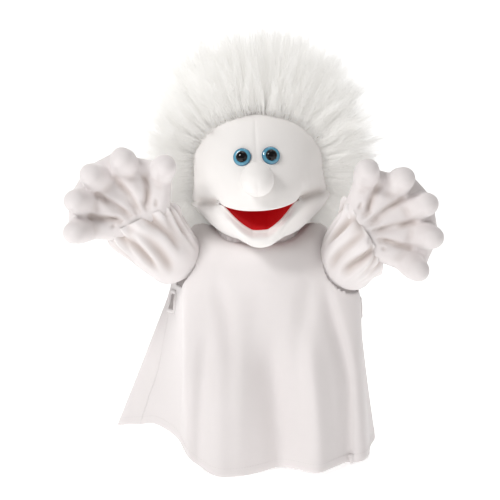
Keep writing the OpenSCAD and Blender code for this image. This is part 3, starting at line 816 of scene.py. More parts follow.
class PUPPET_OT_nose(bpy.types.Operator):
    """Makes the ball nose, sewn from two halves"""

    bl_idname = "puppet.nose"
    bl_label = "Nose"

    def execute(self, context):
        middle = nose_middle()
        half_wide, half_deep, half_tall = NOSE
        rings, sides = 40, 64
        rise = np.radians(np.linspace(-90, 90, rings))[:, None]
        turn = np.radians(np.linspace(0, 360, sides, endpoint=False))[None, :]
        x = half_wide * np.cos(rise) * np.sin(turn) * (1 - 0.05 * np.sin(rise))
        y = -half_deep * np.cos(rise) * np.cos(turn)
        z = half_tall * np.sin(rise) + 0 * turn
        y = y + 3.0 * ramp(z, 4, half_tall)
        ball = stack(x, y, z)
        nose = new_object("nose", ball, grid_faces(rings, sides, True), finish("Face fleece"),
                          weld=0.05, centre=(0, 0, 0))
        at = mesh_points(nose.data)
        seam = [(0, -half_deep * math.cos(q), half_tall * math.sin(q))
                for q in np.radians([-85, -60, -40, -20, 0])]
        at = folded(at, mesh_normals(nose.data), [(seam, 0.8, 1.3)])
        move_points(nose, from_head(at + middle))
        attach(nose, "head")
        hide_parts("nose_cover_right", "nose_cover_left", "nose_stuffing")
        return {"FINISHED"}


class PUPPET_OT_eyes(bpy.types.Operator):
    """Makes the domed plastic eyes on the frame's eye stems"""

    bl_idname = "puppet.eyes"
    bl_label = "Eyes"

    # Height of the disc over the middle of the washer, then radius and height of each ring
    SEAT = 7.9
    DISC = [(0, -0.4), (9.0, -0.4), (9.9, 0.1), (10.0, 0.9), (9.6, 1.7), (8.8, 2.4),
            (7.6, 2.95), (6.2, 3.3), (0, 3.4)]

    def lathe(self, name, rows, middle, axis, material):
        """A round piece turned about an axis, from the radius and height of its rings."""
        across = unit(np.cross(axis, [0.0, 0.0, 1.0]))
        up = np.cross(across, axis)
        turn = np.linspace(0, 2 * np.pi, 64, endpoint=False)
        circle = np.cos(turn)[:, None] * across + np.sin(turn)[:, None] * up
        points = np.array([middle + axis * h + circle * max(r, 0.001) for r, h in rows])
        return new_object(name, points, grid_faces(len(rows), 64, True), material, weld=0.01,
                          centre=middle)

    def execute(self, context):
        for side in SIDES:
            pupil = mesh_points(frame["nodes"][f"{side}_eye_pupil"].data).mean(0)
            washer = node_middle(f"{side}_eye_washer")
            axis = unit(pupil - washer)
            base = washer + axis * self.SEAT
            iris = self.lathe(f"{side}_iris", self.DISC, base, axis, finish("Iris"))
            reach = np.linalg.norm(np.cross(mesh_points(iris.data) - base, axis), axis=1)
            mark(iris.data, "rim", ramp(reach, 8.2, 9.9))
            dome = [(0, 2.6), (6.2, 2.6)]
            dome += [(6.3 * math.cos(q), 3.2 + 4.4 * math.sin(q))
                     for q in np.radians(np.linspace(0, 90, 14))]
            black = self.lathe(f"{side}_pupil", dome, base, axis, finish("Pupil"))
            for piece, slot in ((iris, "eye_iris"), (black, "eye_pupil")):
                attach(piece, "head")
            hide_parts(f"{side}_eye_iris")
            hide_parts(f"{side}_eye_pupil")
        return {"FINISHED"}


def node_tree(name, inputs):
    """An empty Geometry Nodes tree with named inputs, and the tree's own input node."""
    tree = bpy.data.node_groups.new(name, "GeometryNodeTree")
    tree.interface.new_socket("Geometry", in_out="INPUT", socket_type="NodeSocketGeometry")
    for label, kind in inputs:
        tree.interface.new_socket(label, in_out="INPUT", socket_type=kind)
    tree.interface.new_socket("Geometry", in_out="OUTPUT", socket_type="NodeSocketGeometry")
    return tree, tree.nodes.new("NodeGroupInput")


def add_node(tree, kind, options=None, inputs=None):
    made = tree.nodes.new(kind)
    for key, value in (options or {}).items():
        setattr(made, key, value)
    for key, value in (inputs or {}).items():
        if isinstance(value, bpy.types.NodeSocket):
            tree.links.new(value, made.inputs[key])
        else:
            made.inputs[key].default_value = value
    return made


def run_tree(obj, tree, values):
    """Runs a tree on an object with named input values and keeps the plain mesh."""
    nodes = obj.modifiers.new(tree.name, "NODES")
    nodes.node_group = tree
    for item in tree.interface.items_tree:
        if item.in_out == "INPUT" and item.name in values:
            nodes[item.identifier] = values[item.name]
    return bake(obj)


def strand_tree():
    """Strands that stand on a surface, with their root, direction and height kept."""
    tree, source = node_tree("Fur strands", [
        ("Density", "NodeSocketFloat"), ("Seed", "NodeSocketInt"), ("Radius", "NodeSocketFloat"),
        ("Length", "NodeSocketFloat"), ("Material", "NodeSocketMaterial")])
    vectors = {"data_type": "FLOAT_VECTOR", "domain": "POINT"}
    scatter = add_node(tree, "GeometryNodeDistributePointsOnFaces",
                       {"distribute_method": "RANDOM"}, {
                           "Mesh": source.outputs["Geometry"],
                           "Density": source.outputs["Density"],
                           "Seed": source.outputs["Seed"]})
    place = add_node(tree, "GeometryNodeInputPosition")
    root = add_node(tree, "GeometryNodeStoreNamedAttribute", vectors, {
        "Geometry": scatter.outputs["Points"], "Name": "root", "Value": place.outputs[0]})
    grow = add_node(tree, "GeometryNodeStoreNamedAttribute", vectors, {
        "Geometry": root.outputs[0], "Name": "grow", "Value": scatter.outputs["Normal"]})
    cone = add_node(tree, "GeometryNodeMeshCone", {"fill_type": "NGON"}, {
        "Vertices": 3, "Side Segments": 4, "Radius Top": 0.00003,
        "Radius Bottom": source.outputs["Radius"], "Depth": source.outputs["Length"]})
    height = add_node(tree, "ShaderNodeSeparateXYZ", {}, {"Vector": place.outputs[0]})
    share = add_node(tree, "ShaderNodeMath", {"operation": "DIVIDE"}, {
        0: height.outputs["Z"], 1: source.outputs["Length"]})
    marked = add_node(tree, "GeometryNodeStoreNamedAttribute",
                      {"data_type": "FLOAT", "domain": "POINT"}, {
                          "Geometry": cone.outputs["Mesh"], "Name": "along",
                          "Value": share.outputs[0]})
    stand = add_node(tree, "GeometryNodeInstanceOnPoints", {}, {
        "Points": grow.outputs[0], "Instance": marked.outputs[0],
        "Rotation": scatter.outputs["Rotation"]})
    real = add_node(tree, "GeometryNodeRealizeInstances", {}, {"Geometry": stand.outputs[0]})
    dressed = add_node(tree, "GeometryNodeSetMaterial", {}, {
        "Geometry": real.outputs[0], "Material": source.outputs["Material"]})
    add_node(tree, "NodeGroupOutput", {}, {"Geometry": dressed.outputs[0]})
    return tree


def scalp_grid(rows=44, cols=97):
    """Points of the scalp from the crown to the rim, round the back from seam to seam."""
    height = settings().head.height / MM
    top = RIM_Z + height - 0.2
    z = top - (height - 0.4) * np.linspace(0, 1, rows)[:, None] ** 1.5
    brow = RIM_Z + BROW * height
    start = np.where(z > brow, 0.0, np.maximum(seam_angle(z) - 2.0, 0.0))
    turn = np.linspace(0, 1, cols)[None, :]
    return head_point(z + 0 * turn, start + (360 - 2 * start) * turn)


def fur_flow(root, spread):
    """Where the fur at each root heads, in the head's own frame, as unit vectors."""
    away = unit(root - np.array([0, -6.0, 96.0]))
    high = ramp(root[:, 2], 60, 165)
    behind = ramp(root[:, 1], -10, 60)
    lift = mix(mix(0.12, 0.42, high), mix(-0.75, 0.25, high), behind)
    forward = -0.25 * ramp(root[:, 2], 140, 185) * (1 - behind)
    flow = away + stack(0.0 * lift, forward, lift)
    return unit(flow + spread)


class PUPPET_OT_fur(bpy.types.Operator):
    """Makes the scalp and the long pile fur on it, in tufts"""

    bl_idname = "puppet.fur"
    bl_label = "Fur"

    PIECES = 8
    # Height that no strand passes, and the band below it where strands are pressed down
    CEILING = 256.5
    BAND = 12
    # Tufts in large locks and in small ones: size against the tuft width, salt, pull
    # towards the tuft's middle, spread of its direction and shortening
    TUFTS = ((2.6, 20.0, 0.34, 0.85, 0.30), (1.0, 5.0, 0.82, 1.05, 0.34))

    def bend(self, at, root, grow, along):
        """Lays straight strands along the fur's flow and gathers them in tufts."""
        sizes = settings().fur
        full = sizes.length / MM
        lot = chance(root, 1.0)
        stray = lot > 0.88
        wobble = np.stack([chance(root, k) - 0.5 for k in (2.0, 3.0, 4.0)], axis=1)
        front = 1 - ramp(root[:, 1], -40, 50)
        high = ramp(root[:, 2], 50, 170)
        reach = full * mix(0.62, 1.0, mix(0.35, 1.0, high) * mix(0.75, 1.0, front))
        reach = reach * mix(1.0, 0.72, ramp(root[:, 1], 20, 80))
        own = fur_flow(root, wobble * 0.5)
        length_share = 0.8 + 0.24 * chance(root, 9.0)
        pulls = []
        for times, salt, share, spread, vary in self.TUFTS:
            size = sizes.clump / MM * times
            warp = size * 0.45 * np.sin(root[:, [1, 2, 0]] / (size * 1.3) + salt)
            cell = np.floor((root + warp) / size)
            jitter = np.stack([chance(cell, salt + k) - 0.5 for k in (0.0, 1.0, 2.0)], axis=1)
            centre = (cell + 0.5) * size - warp
            length_share = length_share * (1 - vary * chance(cell, salt + 3))
            pulls.append((centre, fur_flow(centre, jitter * spread), share))
        reach = np.where(stray, reach * 0.98, reach * length_share)[:, None]
        tip = root + reach * own
        for centre, flow, share in pulls:
            share = np.where(stray, 0.1, share * (0.75 + 0.5 * chance(root, 15.0)))[:, None]
            tip = mix(tip, centre + reach * flow, share)
        knee = root + reach * 0.46 * unit(grow * 0.7 + unit(tip - root) * 0.5 + own * 0.5)
        tip = tip - UP * (6.0 * (1 - high) * front)[:, None]
        t = along[:, None]
        side = unit(np.cross(own, [0.2, 0.9, 0.4]))
        wave = side * (np.sin(6.3 * (1.1 * along + lot)) * along * 1.6)[:, None]
        line = (1 - t) ** 2 * root + 2 * t * (1 - t) * knee + t * t * tip + wave
        straight = root + grow * (along * full)[:, None]
        return line + (at - straight)

    def execute(self, context):
        sizes = settings().fur
        grid = scalp_grid()
        scalp = new_object("scalp", grid, grid_faces(grid.shape[0], grid.shape[1]),
                           finish("Inner cloth"), weld=0.05, centre=(0, 0, 100))
        modifier(scalp, "SMOOTH", factor=0.5, iterations=2)
        bake(scalp)
        area = sum(p.area for p in scalp.data.polygons)
        skin = [tuple(p.vertices) for p in scalp.data.polygons]
        hair = new_object("hair", mesh_points(scalp.data), skin, finish("Fur"),
                          centre=(0, 0, 100))
        run_tree(hair, strand_tree(), {
            "Density": sizes.strands / area, "Seed": sizes.seed, "Radius": sizes.radius,
            "Length": sizes.length, "Material": finish("Fur")})
        move_points(scalp, from_head(mesh_points(scalp.data)))
        thicken(scalp, 1.5)
        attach(scalp, "head")
        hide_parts("hair_backing_right", "hair_backing_left")
        self.split(hair)
        return {"FINISHED"}

    def split(self, hair):
        """Bends the strands and deals them out to pieces by their place round the head."""
        mesh = hair.data
        count = len(mesh.vertices)

        def read(name, width):
            out = np.zeros(count * width, np.float32)
            key = "vector" if width == 3 else "value"
            mesh.attributes[name].data.foreach_get(key, out)
            return out.reshape(-1, width).astype(float)

        root, grow, along = read("root", 3) / MM, read("grow", 3), read("along", 1)[:, 0]
        at = self.bend(mesh_points(mesh), root, grow, along)
        over = at[:, 2] - self.CEILING + self.BAND
        pressed = self.CEILING - self.BAND + self.BAND * np.tanh(over / self.BAND)
        at[:, 2] = np.where(over > 0, pressed, at[:, 2])
        corners = [tuple(p.vertices) for p in mesh.polygons]
        sets = [np.array([c for c in corners if len(c) == n]) for n in (4, 3)]
        where = np.degrees(np.arctan2(root[:, 0], root[:, 1])) + 0.02 * root[:, 2]
        limits = np.quantile(where, np.linspace(0, 1, self.PIECES + 1)[1:-1])
        group = np.searchsorted(limits, where)
        at = from_head(at)
        tone = chance(root, 12.0) * 0.5 + chance(np.floor(root / 5.0), 13.0) * 0.5
        for k in range(self.PIECES):
            keep = group == k
            index = np.cumsum(keep) - 1
            chosen = [tuple(index[f]) for faces in sets for f in faces[keep[faces[:, 0]]]]
            piece = bpy.data.meshes.new(f"fur_{k + 1}")
            piece.from_pydata((at[keep] * MM).tolist(), [], chosen)
            piece.shade_smooth()
            mark(piece, "along", along[keep])
            mark(piece, "tone", tone[keep])
            piece.materials.append(finish("Fur"))
            obj = bpy.data.objects.new(f"fur_{k + 1}", piece)
            bpy.context.scene.collection.objects.link(obj)
            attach(obj, "head")
            if k == 0:
                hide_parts("fur_right", "fur_left")
        bpy.data.objects.remove(hair)


# ---------------------------------------------------------------- operators: robe

# Rings of the robe, from the middle of the front towards the puppet's right and round
ROBE_UPPER = [(0, -66), (-45, -62), (-79, -52), (-86, -35), (-92, -15), (-98, -2), (-103, 12),
              (-90, 40), (-50, 64), (-10, 69), (35, 68), (75, 58), (108, 25), (117, -2),
              (112, -28), (85, -52), (50, -63), (22, -66)]
ROBE_MIDDLE = [(-10, -76), (-45, -80), (-79, -72), (-86, -50), (-100, -25), (-116, -2),
               (-138, 14), (-120, 50), (-72, 78), (-15, 76), (45, 80), (92, 66), (124, 28),
               (124, -10), (114, -42), (86, -60), (54, -75), (22, -66)]
ROBE_HEM = [(-15, -84, -243), (-50, -86, -241), (-76, -78, -226), (-92, -55, -207),
            (-118, -22, -199), (-137, -4, -203), (-166, 22, -210), (-150, 60, -216),
            (-90, 86, -220), (-20, 82, -214), (50, 88, -216), (105, 70, -214), (138, 28, -222),
            (131, -12, -228), (122, -48, -234), (90, -62, -238), (58, -80, -240),
            (25, -70, -240)]
# Soft folds down the front: x at the top and at the hem, the two heights, width and depth
ROBE_FOLDS = [(12, 24, -80, -235, 17, 12.0), (-22, -34, -90, -235, 18, -6.0),
              (58, 70, -70, -235, 12, -8.0), (74, 101, -14, -160, 9, 9.0),
              (-58, -66, -60, -220, 9, 6.0), (-44, -30, -10, -120, 10, 3.5),
              (60, 46, -6, -110, 12, 5.0), (2, -6, -30, -130, 14, 3.0)]
ROBE_COLS = 360
ROBE_ROWS = 90
# Places of the side seams round the robe, as shares of a turn from the middle of the front
RIGHT_SEAM = 5 / 18
LEFT_SEAM = 13 / 18


def robe_grid():
    """Points of the robe, rows from the neckline to the hem, columns once round."""
    upper = np.array([(x, y, -50.0) for x, y in ROBE_UPPER])
    turn = np.arctan2(upper[:, 1], upper[:, 0])

    front = ramp(-np.sin(turn), 0.1, 1.0)
    behind = ramp(np.sin(turn), 0.2, 1.0)

    def oval(half_right, half_left, depth, side_z, front_z, back_z):
        half = np.where(np.cos(turn) < 0, half_right, half_left)
        z = mix(mix(side_z, front_z, front), back_z, behind)
        return stack(half * np.cos(turn), depth * np.sin(turn), z)

    middle = np.array([(x, y, -140.0) for x, y in ROBE_MIDDLE])
    hem = np.array(ROBE_HEM, float)
    levels = [
        oval(49, 49, 50, 25, 12, 12),
        oval(60, 61, 56, 30, 10, 12),
        oval(74, 76, 62, 28, 3, 9),
        oval(86, 89, 65, 12, -10, 0),
        mix(oval(92, 99, 67, -14, -24, -16), upper + [0, 0, 24.0], 0.5),
        upper,
        mix(upper, middle, 0.5),
        middle,
        mix(middle, hem, 0.5),
        hem,
    ]
    heights = np.linspace(0, 1, ROBE_ROWS)
    down = spline(levels, heights)
    around = spline(np.swapaxes(down, 0, 1), np.arange(ROBE_COLS) / ROBE_COLS, closed=True)
    grid = np.swapaxes(around, 0, 1)
    x, z = grid[:, :, 0].copy(), grid[:, :, 2].copy()
    faces_front = ramp(-grid[:, :, 1], 5, 35)
    for x_high, x_low, z_high, z_low, width, depth in ROBE_FOLDS:
        line = mix(x_high, x_low, ramp(z, z_high, z_low))
        strength = ramp(z, z_high + 10, mix(z_high, z_low, 0.45))
        grid[:, :, 1] += depth * strength * faces_front * np.exp(-(((x - line) / width) ** 2))
    return grid


def robe_panel_columns(front):
    """Column numbers of the front or back panel, from seam to seam."""
    right, left = round(RIGHT_SEAM * ROBE_COLS), round(LEFT_SEAM * ROBE_COLS)
    if front:
        return np.arange(left - ROBE_COLS, right + 1) % ROBE_COLS
    return np.arange(right, left + 1)


def stitch_tree():
    """Stitches along the edges of a line, each a small rounded bar."""
    tree, source = node_tree("Stitches", [
        ("Pitch", "NodeSocketFloat"), ("Stitch", "NodeSocketFloat"),
        ("Thread", "NodeSocketFloat"), ("Material", "NodeSocketMaterial")])
    line = add_node(tree, "GeometryNodeMeshToCurve", {}, {"Mesh": source.outputs["Geometry"]})
    spaced = add_node(tree, "GeometryNodeResampleCurve", {"mode": "LENGTH"}, {
        "Curve": line.outputs[0], "Length": source.outputs["Pitch"]})
    tangent = add_node(tree, "GeometryNodeInputTangent")
    facing = add_node(tree, "FunctionNodeAlignRotationToVector", {"axis": "Z"}, {
        "Vector": tangent.outputs[0]})
    half = add_node(tree, "ShaderNodeMath", {"operation": "MULTIPLY"}, {
        0: source.outputs["Stitch"], 1: 0.5})
    size = add_node(tree, "ShaderNodeCombineXYZ", {}, {
        "X": source.outputs["Thread"], "Y": source.outputs["Thread"], "Z": half.outputs[0]})
    bead = add_node(tree, "GeometryNodeMeshUVSphere", {}, {
        "Segments": 6, "Rings": 5, "Radius": 1.0})
    lay = add_node(tree, "GeometryNodeInstanceOnPoints", {}, {
        "Points": spaced.outputs[0], "Instance": bead.outputs["Mesh"],
        "Rotation": facing.outputs[0], "Scale": size.outputs[0]})
    real = add_node(tree, "GeometryNodeRealizeInstances", {}, {"Geometry": lay.outputs[0]})
    dressed = add_node(tree, "GeometryNodeSetMaterial", {}, {
        "Geometry": real.outputs[0], "Material": source.outputs["Material"]})
    add_node(tree, "NodeGroupOutput", {}, {"Geometry": dressed.outputs[0]})
    return tree


def stitches(name, line):
    """A row of stitches along a line."""
    sizes = settings().cloth
    mesh = bpy.data.meshes.new(name)
    mesh.from_pydata((line * MM).tolist(), [(i, i + 1) for i in range(len(line) - 1)], [])
    obj = bpy.data.objects.new(name, mesh)
    bpy.context.scene.collection.objects.link(obj)
    return run_tree(obj, stitch_tree(), {
        "Pitch": sizes.stitch_gap, "Stitch": sizes.stitch, "Thread": sizes.thread,
        "Material": finish("Sewing thread")})


# Heights of each side slot's top and foot, and its edges as shares of a turn
SLOT_ROWS = {"right": (-47.0, -66.0), "left": (-53.0, -72.0)}
SLOT_COLUMNS = {"right": (RIGHT_SEAM - 0.032, RIGHT_SEAM + 0.014),
                "left": (LEFT_SEAM - 0.014, LEFT_SEAM + 0.014)}


class PUPPET_OT_robe(bpy.types.Operator):
    """Makes the robe's front and back panels, with turned-up hems, slots and stitches"""

    bl_idname = "puppet.robe"
    bl_label = "Robe"

    # Radius of the armholes
    ARMHOLE = 33
    # Radius of the slots' rolled edges, and the points along and round each
    ROLL, ROLL_POINTS, ROLL_SIDES = 2.1, 90, 10

    def in_slot(self, grid, i, j):
        """Whether the cell at row i and column j is in a side slot."""
        z = grid[i, j, 2]
        place = (j + 0.5) / ROBE_COLS
        for side in SIDES:
            top, low = SLOT_ROWS[side]
            start, end = SLOT_COLUMNS[side]
            if low < z < top and start < place < end:
                return True
        return False

    def execute(self, context):
        cloth = settings().cloth
        grid = robe_grid()
        holes = [joint(f"{side}_shoulder_raise")[0] for side in SIDES]
        hem = grid[-1]
        tangent = unit(np.roll(hem, -1, 0) - np.roll(hem, 1, 0))
        rise = unit(grid[-4] - hem)
        inside = unit(np.cross(rise, tangent))
        inside = inside * np.sign((inside * (hem * [-1, -1, 0])).sum(1, keepdims=True))
        height = cloth.hem / MM
        gap = cloth.thickness / MM + 0.5
        turned = [hem + inside * gap * 0.5 - rise * 0.7, hem + inside * gap + rise * 0.4,
                  hem + inside * gap + rise * height * 0.5, hem + inside * gap + rise * height]
        full = np.concatenate([grid, np.array(turned)])
        rows = len(full)
        for front in (True, False):
            cols = robe_panel_columns(front)
            panel = full[:, cols]
            faces = []
            for i in range(rows - 1):
                for n in range(len(cols) - 1):
                    j = int(cols[n])
                    if i < ROBE_ROWS - 1:
                        middle = panel[i, n]
                        if min(np.linalg.norm(middle - h) for h in holes) < self.ARMHOLE:
                            continue
                        if self.in_slot(grid, i, j):
                            continue
                    a = i * len(cols) + n
                    faces.append((a, a + 1, a + len(cols) + 1, a + len(cols)))
            name = "robe_front_panel" if front else "robe_back_panel"
            obj = new_object(name, panel, faces, finish("Robe cloth"), centre=(0, 0, -120))
            self.drop_loose(obj)
            modifier(obj, "SMOOTH", factor=0.4, iterations=1)
            bake(obj)
            thicken(obj, cloth.thickness / MM)
            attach(obj, "robe")
            side = "front" if front else "back"
            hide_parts(f"robe_{side}", f"hem_{side}")
        self.trim(grid, hem, rise)
        return {"FINISHED"}

    def drop_loose(self, obj):
        """Deletes the points that no face uses, in the armholes and the slots."""
        bm = bmesh.new()
        bm.from_mesh(obj.data)
        loose = [v for v in bm.verts if not v.link_faces]
        bmesh.ops.delete(bm, geom=loose, context="VERTS")
        bm.to_mesh(obj.data)
        bm.free()

    def trim(self, grid, hem, rise):
        """Sews the hem and binds the edges of the two slots."""
        out = unit(np.stack([hem[:, 0], hem[:, 1], 0 * hem[:, 0]], axis=1))
        row = hem + rise * (settings().cloth.hem / MM - 0.5)
        line = row + out * 0.35
        sewn = stitches("hem_stitches", np.concatenate([line, line[:1]]))
        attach(sewn, "robe")
        for side in SIDES:
            top, low = SLOT_ROWS[side]
            start, end = (round(s * ROBE_COLS) for s in SLOT_COLUMNS[side])
            z = grid[:, (start + end) // 2, 2]
            inside = np.nonzero((z < top) & (z > low))[0]
            i0, i1 = inside[0], inside[-1] + 1
            loop = [grid[i, start] for i in range(i0, i1 + 1)]
            loop += [grid[i1, j % ROBE_COLS] for j in range(start + 1, end + 1)]
            loop += [grid[i, end % ROBE_COLS] for i in range(i1 - 1, i0 - 1, -1)]
            loop += [grid[i0, j % ROBE_COLS] for j in range(end - 1, start, -1)]
            along = np.linspace(0, 1, self.ROLL_POINTS, endpoint=False)
            path = spline(np.array(loop), along, closed=True)
            for _ in range(5):
                path = (np.roll(path, 1, 0) + path * 2 + np.roll(path, -1, 0)) / 4
            middle = path.mean(0)
            ahead = unit(np.roll(path, -1, 0) - np.roll(path, 1, 0))
            outward = unit(path - middle)
            other = np.cross(ahead, outward)
            turn = np.linspace(0, 2 * np.pi, self.ROLL_SIDES, endpoint=False)[None, :, None]
            ring = (np.cos(turn) * outward[:, None] * 1.3
                    + np.sin(turn) * other[:, None] * 0.8)
            tube = path[:, None] + self.ROLL * ring + outward[:, None] * 0.6
            total = self.ROLL_POINTS * self.ROLL_SIDES
            faces = [tuple(v % total for v in face) for face in
                     grid_faces(self.ROLL_POINTS + 1, self.ROLL_SIDES, True)]
            binding = new_object(f"{side}_slot_roll", tube, faces, finish("Robe cloth"))
            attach(binding, "robe")
            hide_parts(f"{side}_slot_binding")


class PUPPET_OT_neck(bpy.types.Operator):
    """Makes the gathered neck cloth between the robe and the head"""

    bl_idname = "puppet.neck"
    bl_label = "Neck cloth"

    # Height, radius and depth of the gathers
    RINGS = ((1.0, 48.5, 0.2), (4.0, 49.5, 0.5), (8.0, 49.0, 0.9), (14.0, 48.5, 1.0),
             (20.0, 49.0, 1.0), (25.0, 49.0, 0.8), (30.0, 47.5, 0.4))

    def execute(self, context):
        turn = np.linspace(0, 2 * np.pi, 180, endpoint=False)
        rows = []
        for z, r, depth in self.RINGS:
            gather = np.sin(turn * 26 + 1.3 * np.sin(turn * 3)) * depth
            rows.append(stack((r + gather) * np.cos(turn), (r + gather) * np.sin(turn), z))
        points = np.array(rows)
        neck = new_object("neck_cloth", points, grid_faces(len(rows), 180, True),
                          finish("Robe cloth"), centre=(0, 0, 15))
        thicken(neck, 1.0)
        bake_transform(neck)
        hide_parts("neck_binding", "neck_collar", "neck_elastic")
        return {"FINISHED"}


# ---------------------------------------------------------------- operators: arms


class Arm:
    """Where a sleeve and its glove lie, read from the frame's joints."""

    def __init__(self, side):
        self.side = side
        self.shoulder = joint(f"{side}_shoulder_raise")[0]
        self.wrist, bend = joint(f"{side}_wrist_bend")
        # The wrist's axis is "out" crossed with the front, so out is the front crossed with it
        self.out = unit(np.cross(FRONT, bend))
        self.knuckles, self.rays, self.points = [], [], []
        for digit in DIGITS:
            place, axis = joint(f"{side}_{digit}_curl")
            ray = unit(np.array([-axis[2], 0.0, axis[0]]))
            self.knuckles.append(place)
            self.rays.append(ray)
            curl = math.radians(60)
            self.points.append(ray * math.cos(curl) + np.array([0, -math.sin(curl), 0]))
        across = unit(np.cross(self.out, BACK))
        thumb_side = np.sign(across @ (self.knuckles[0] - self.wrist))
        self.across = across * thumb_side


class PUPPET_OT_sleeves(bpy.types.Operator):
    """Makes the two sleeves, gathered at the wrists"""

    bl_idname = "puppet.sleeves"
    bl_label = "Sleeves"

    # Share of the way, half width, half depth, sideways push and gather depth
    SHAPE = [(-0.12, 33, 28, 0, 0.0), (0.0, 34, 31, 0, 0.0), (0.2, 36, 32, 0, 0.4),
             (0.45, 38.5, 31, -1.0, 1.0), (0.7, 41, 29, -2.0, 1.9), (0.87, 43, 26, -1.5, 2.8),
             (0.96, 41, 20, 0, 3.2), (1.02, 39, 15.5, 0, 3.0)]

    # Soft folds that fan out below the gathers: degrees round, share of the way where the
    # fold starts, depth and width
    FOLDS = {
        "right": [(196, 0.42, 4.0, 6), (228, 0.22, 5.4, 5), (254, 0.1, 4.6, 6),
                  (286, 0.3, 5.4, 5), (318, 0.35, 4.2, 6), (20, 0.4, 3.4, 7),
                  (90, 0.3, 2.5, 12)],
        "left": [(205, 0.4, 4.0, 6), (236, 0.2, 5.4, 6), (266, 0.15, 4.6, 5),
                 (298, 0.35, 5.0, 5), (335, 0.4, 4.2, 6), (30, 0.4, 3.0, 7),
                 (95, 0.3, 2.5, 12)]}
    # Radius that the sleeve's flat width is worked out from, and the cloth's length
    # against the arm's, which leaves a quarter for the gathers
    FLAT_RADIUS, EASE = 38, 1.25

    def execute(self, context):
        for side in SIDES:
            arm = Arm(side)
            start, end = arm.shoulder, arm.wrist - arm.out * 5
            along = unit(end - start)
            deep0 = unit(np.cross(along, arm.across))
            across0 = unit(np.cross(deep0, along))
            deep0 = deep0 * np.sign(deep0 @ BACK)
            count = 200
            turn = np.linspace(0, 2 * np.pi, count, endpoint=False)
            shape = spline(self.SHAPE, np.linspace(0, 1, 64))
            rows, shade = [], []
            for s, width, depth, sag, gather in shape:
                t = ramp(s, 0.15, 1.0)
                wide = unit(mix(across0, arm.across, t))
                deep = unit(mix(deep0, BACK, t))
                middle = mix(start, end, s) + UP * sag
                swirl = 1.2 * math.sin(3.1 * s + 0.7)
                pleats = np.sin(turn * 15 + swirl + 2.4 * np.sin(turn * 3 + 1)) * gather * 0.7
                push = pleats + np.sin(turn * 7 - 2 * swirl + np.sin(turn * 2)) * gather * 0.7
                for place, first, press, spread in self.FOLDS[side]:
                    gone = (np.degrees(turn) - place - 16 * math.sin(3 * s) + 180) % 360 - 180
                    near = np.exp(-((gone * width / 57.3 / spread) ** 2))
                    push = push - (near * press * float(ramp(s, first, first + 0.25))
                                   * (1 - 0.5 * float(ramp(s, 0.9, 1.0))))
                circle = (np.cos(turn)[:, None] * wide * (width + push)[:, None]
                          + np.sin(turn)[:, None] * deep * (depth + push)[:, None])
                rows.append(middle + circle)
                # painted shade: the deeper a fold presses in, the darker the cloth is painted there
                shade.append(np.clip(-push / 5.5, 0, 1) * 0.7)
            points = np.array(rows)
            sleeve = new_object(f"{side}_sleeve_cloth", points, grid_faces(len(rows), count, True),
                                finish("Robe cloth"), centre=mix(start, end, 0.5))
            mark(sleeve.data, "crease", shade)
            thicken(sleeve, settings().cloth.thickness / MM)
            (start - along * 6) * MM
            (start + along * 30) * MM
            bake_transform(sleeve)
            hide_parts(f"{side}_sleeve", f"{side}_wrist_elastic")
            np.linalg.norm(end - start) * self.EASE * MM
        return {"FINISHED"}


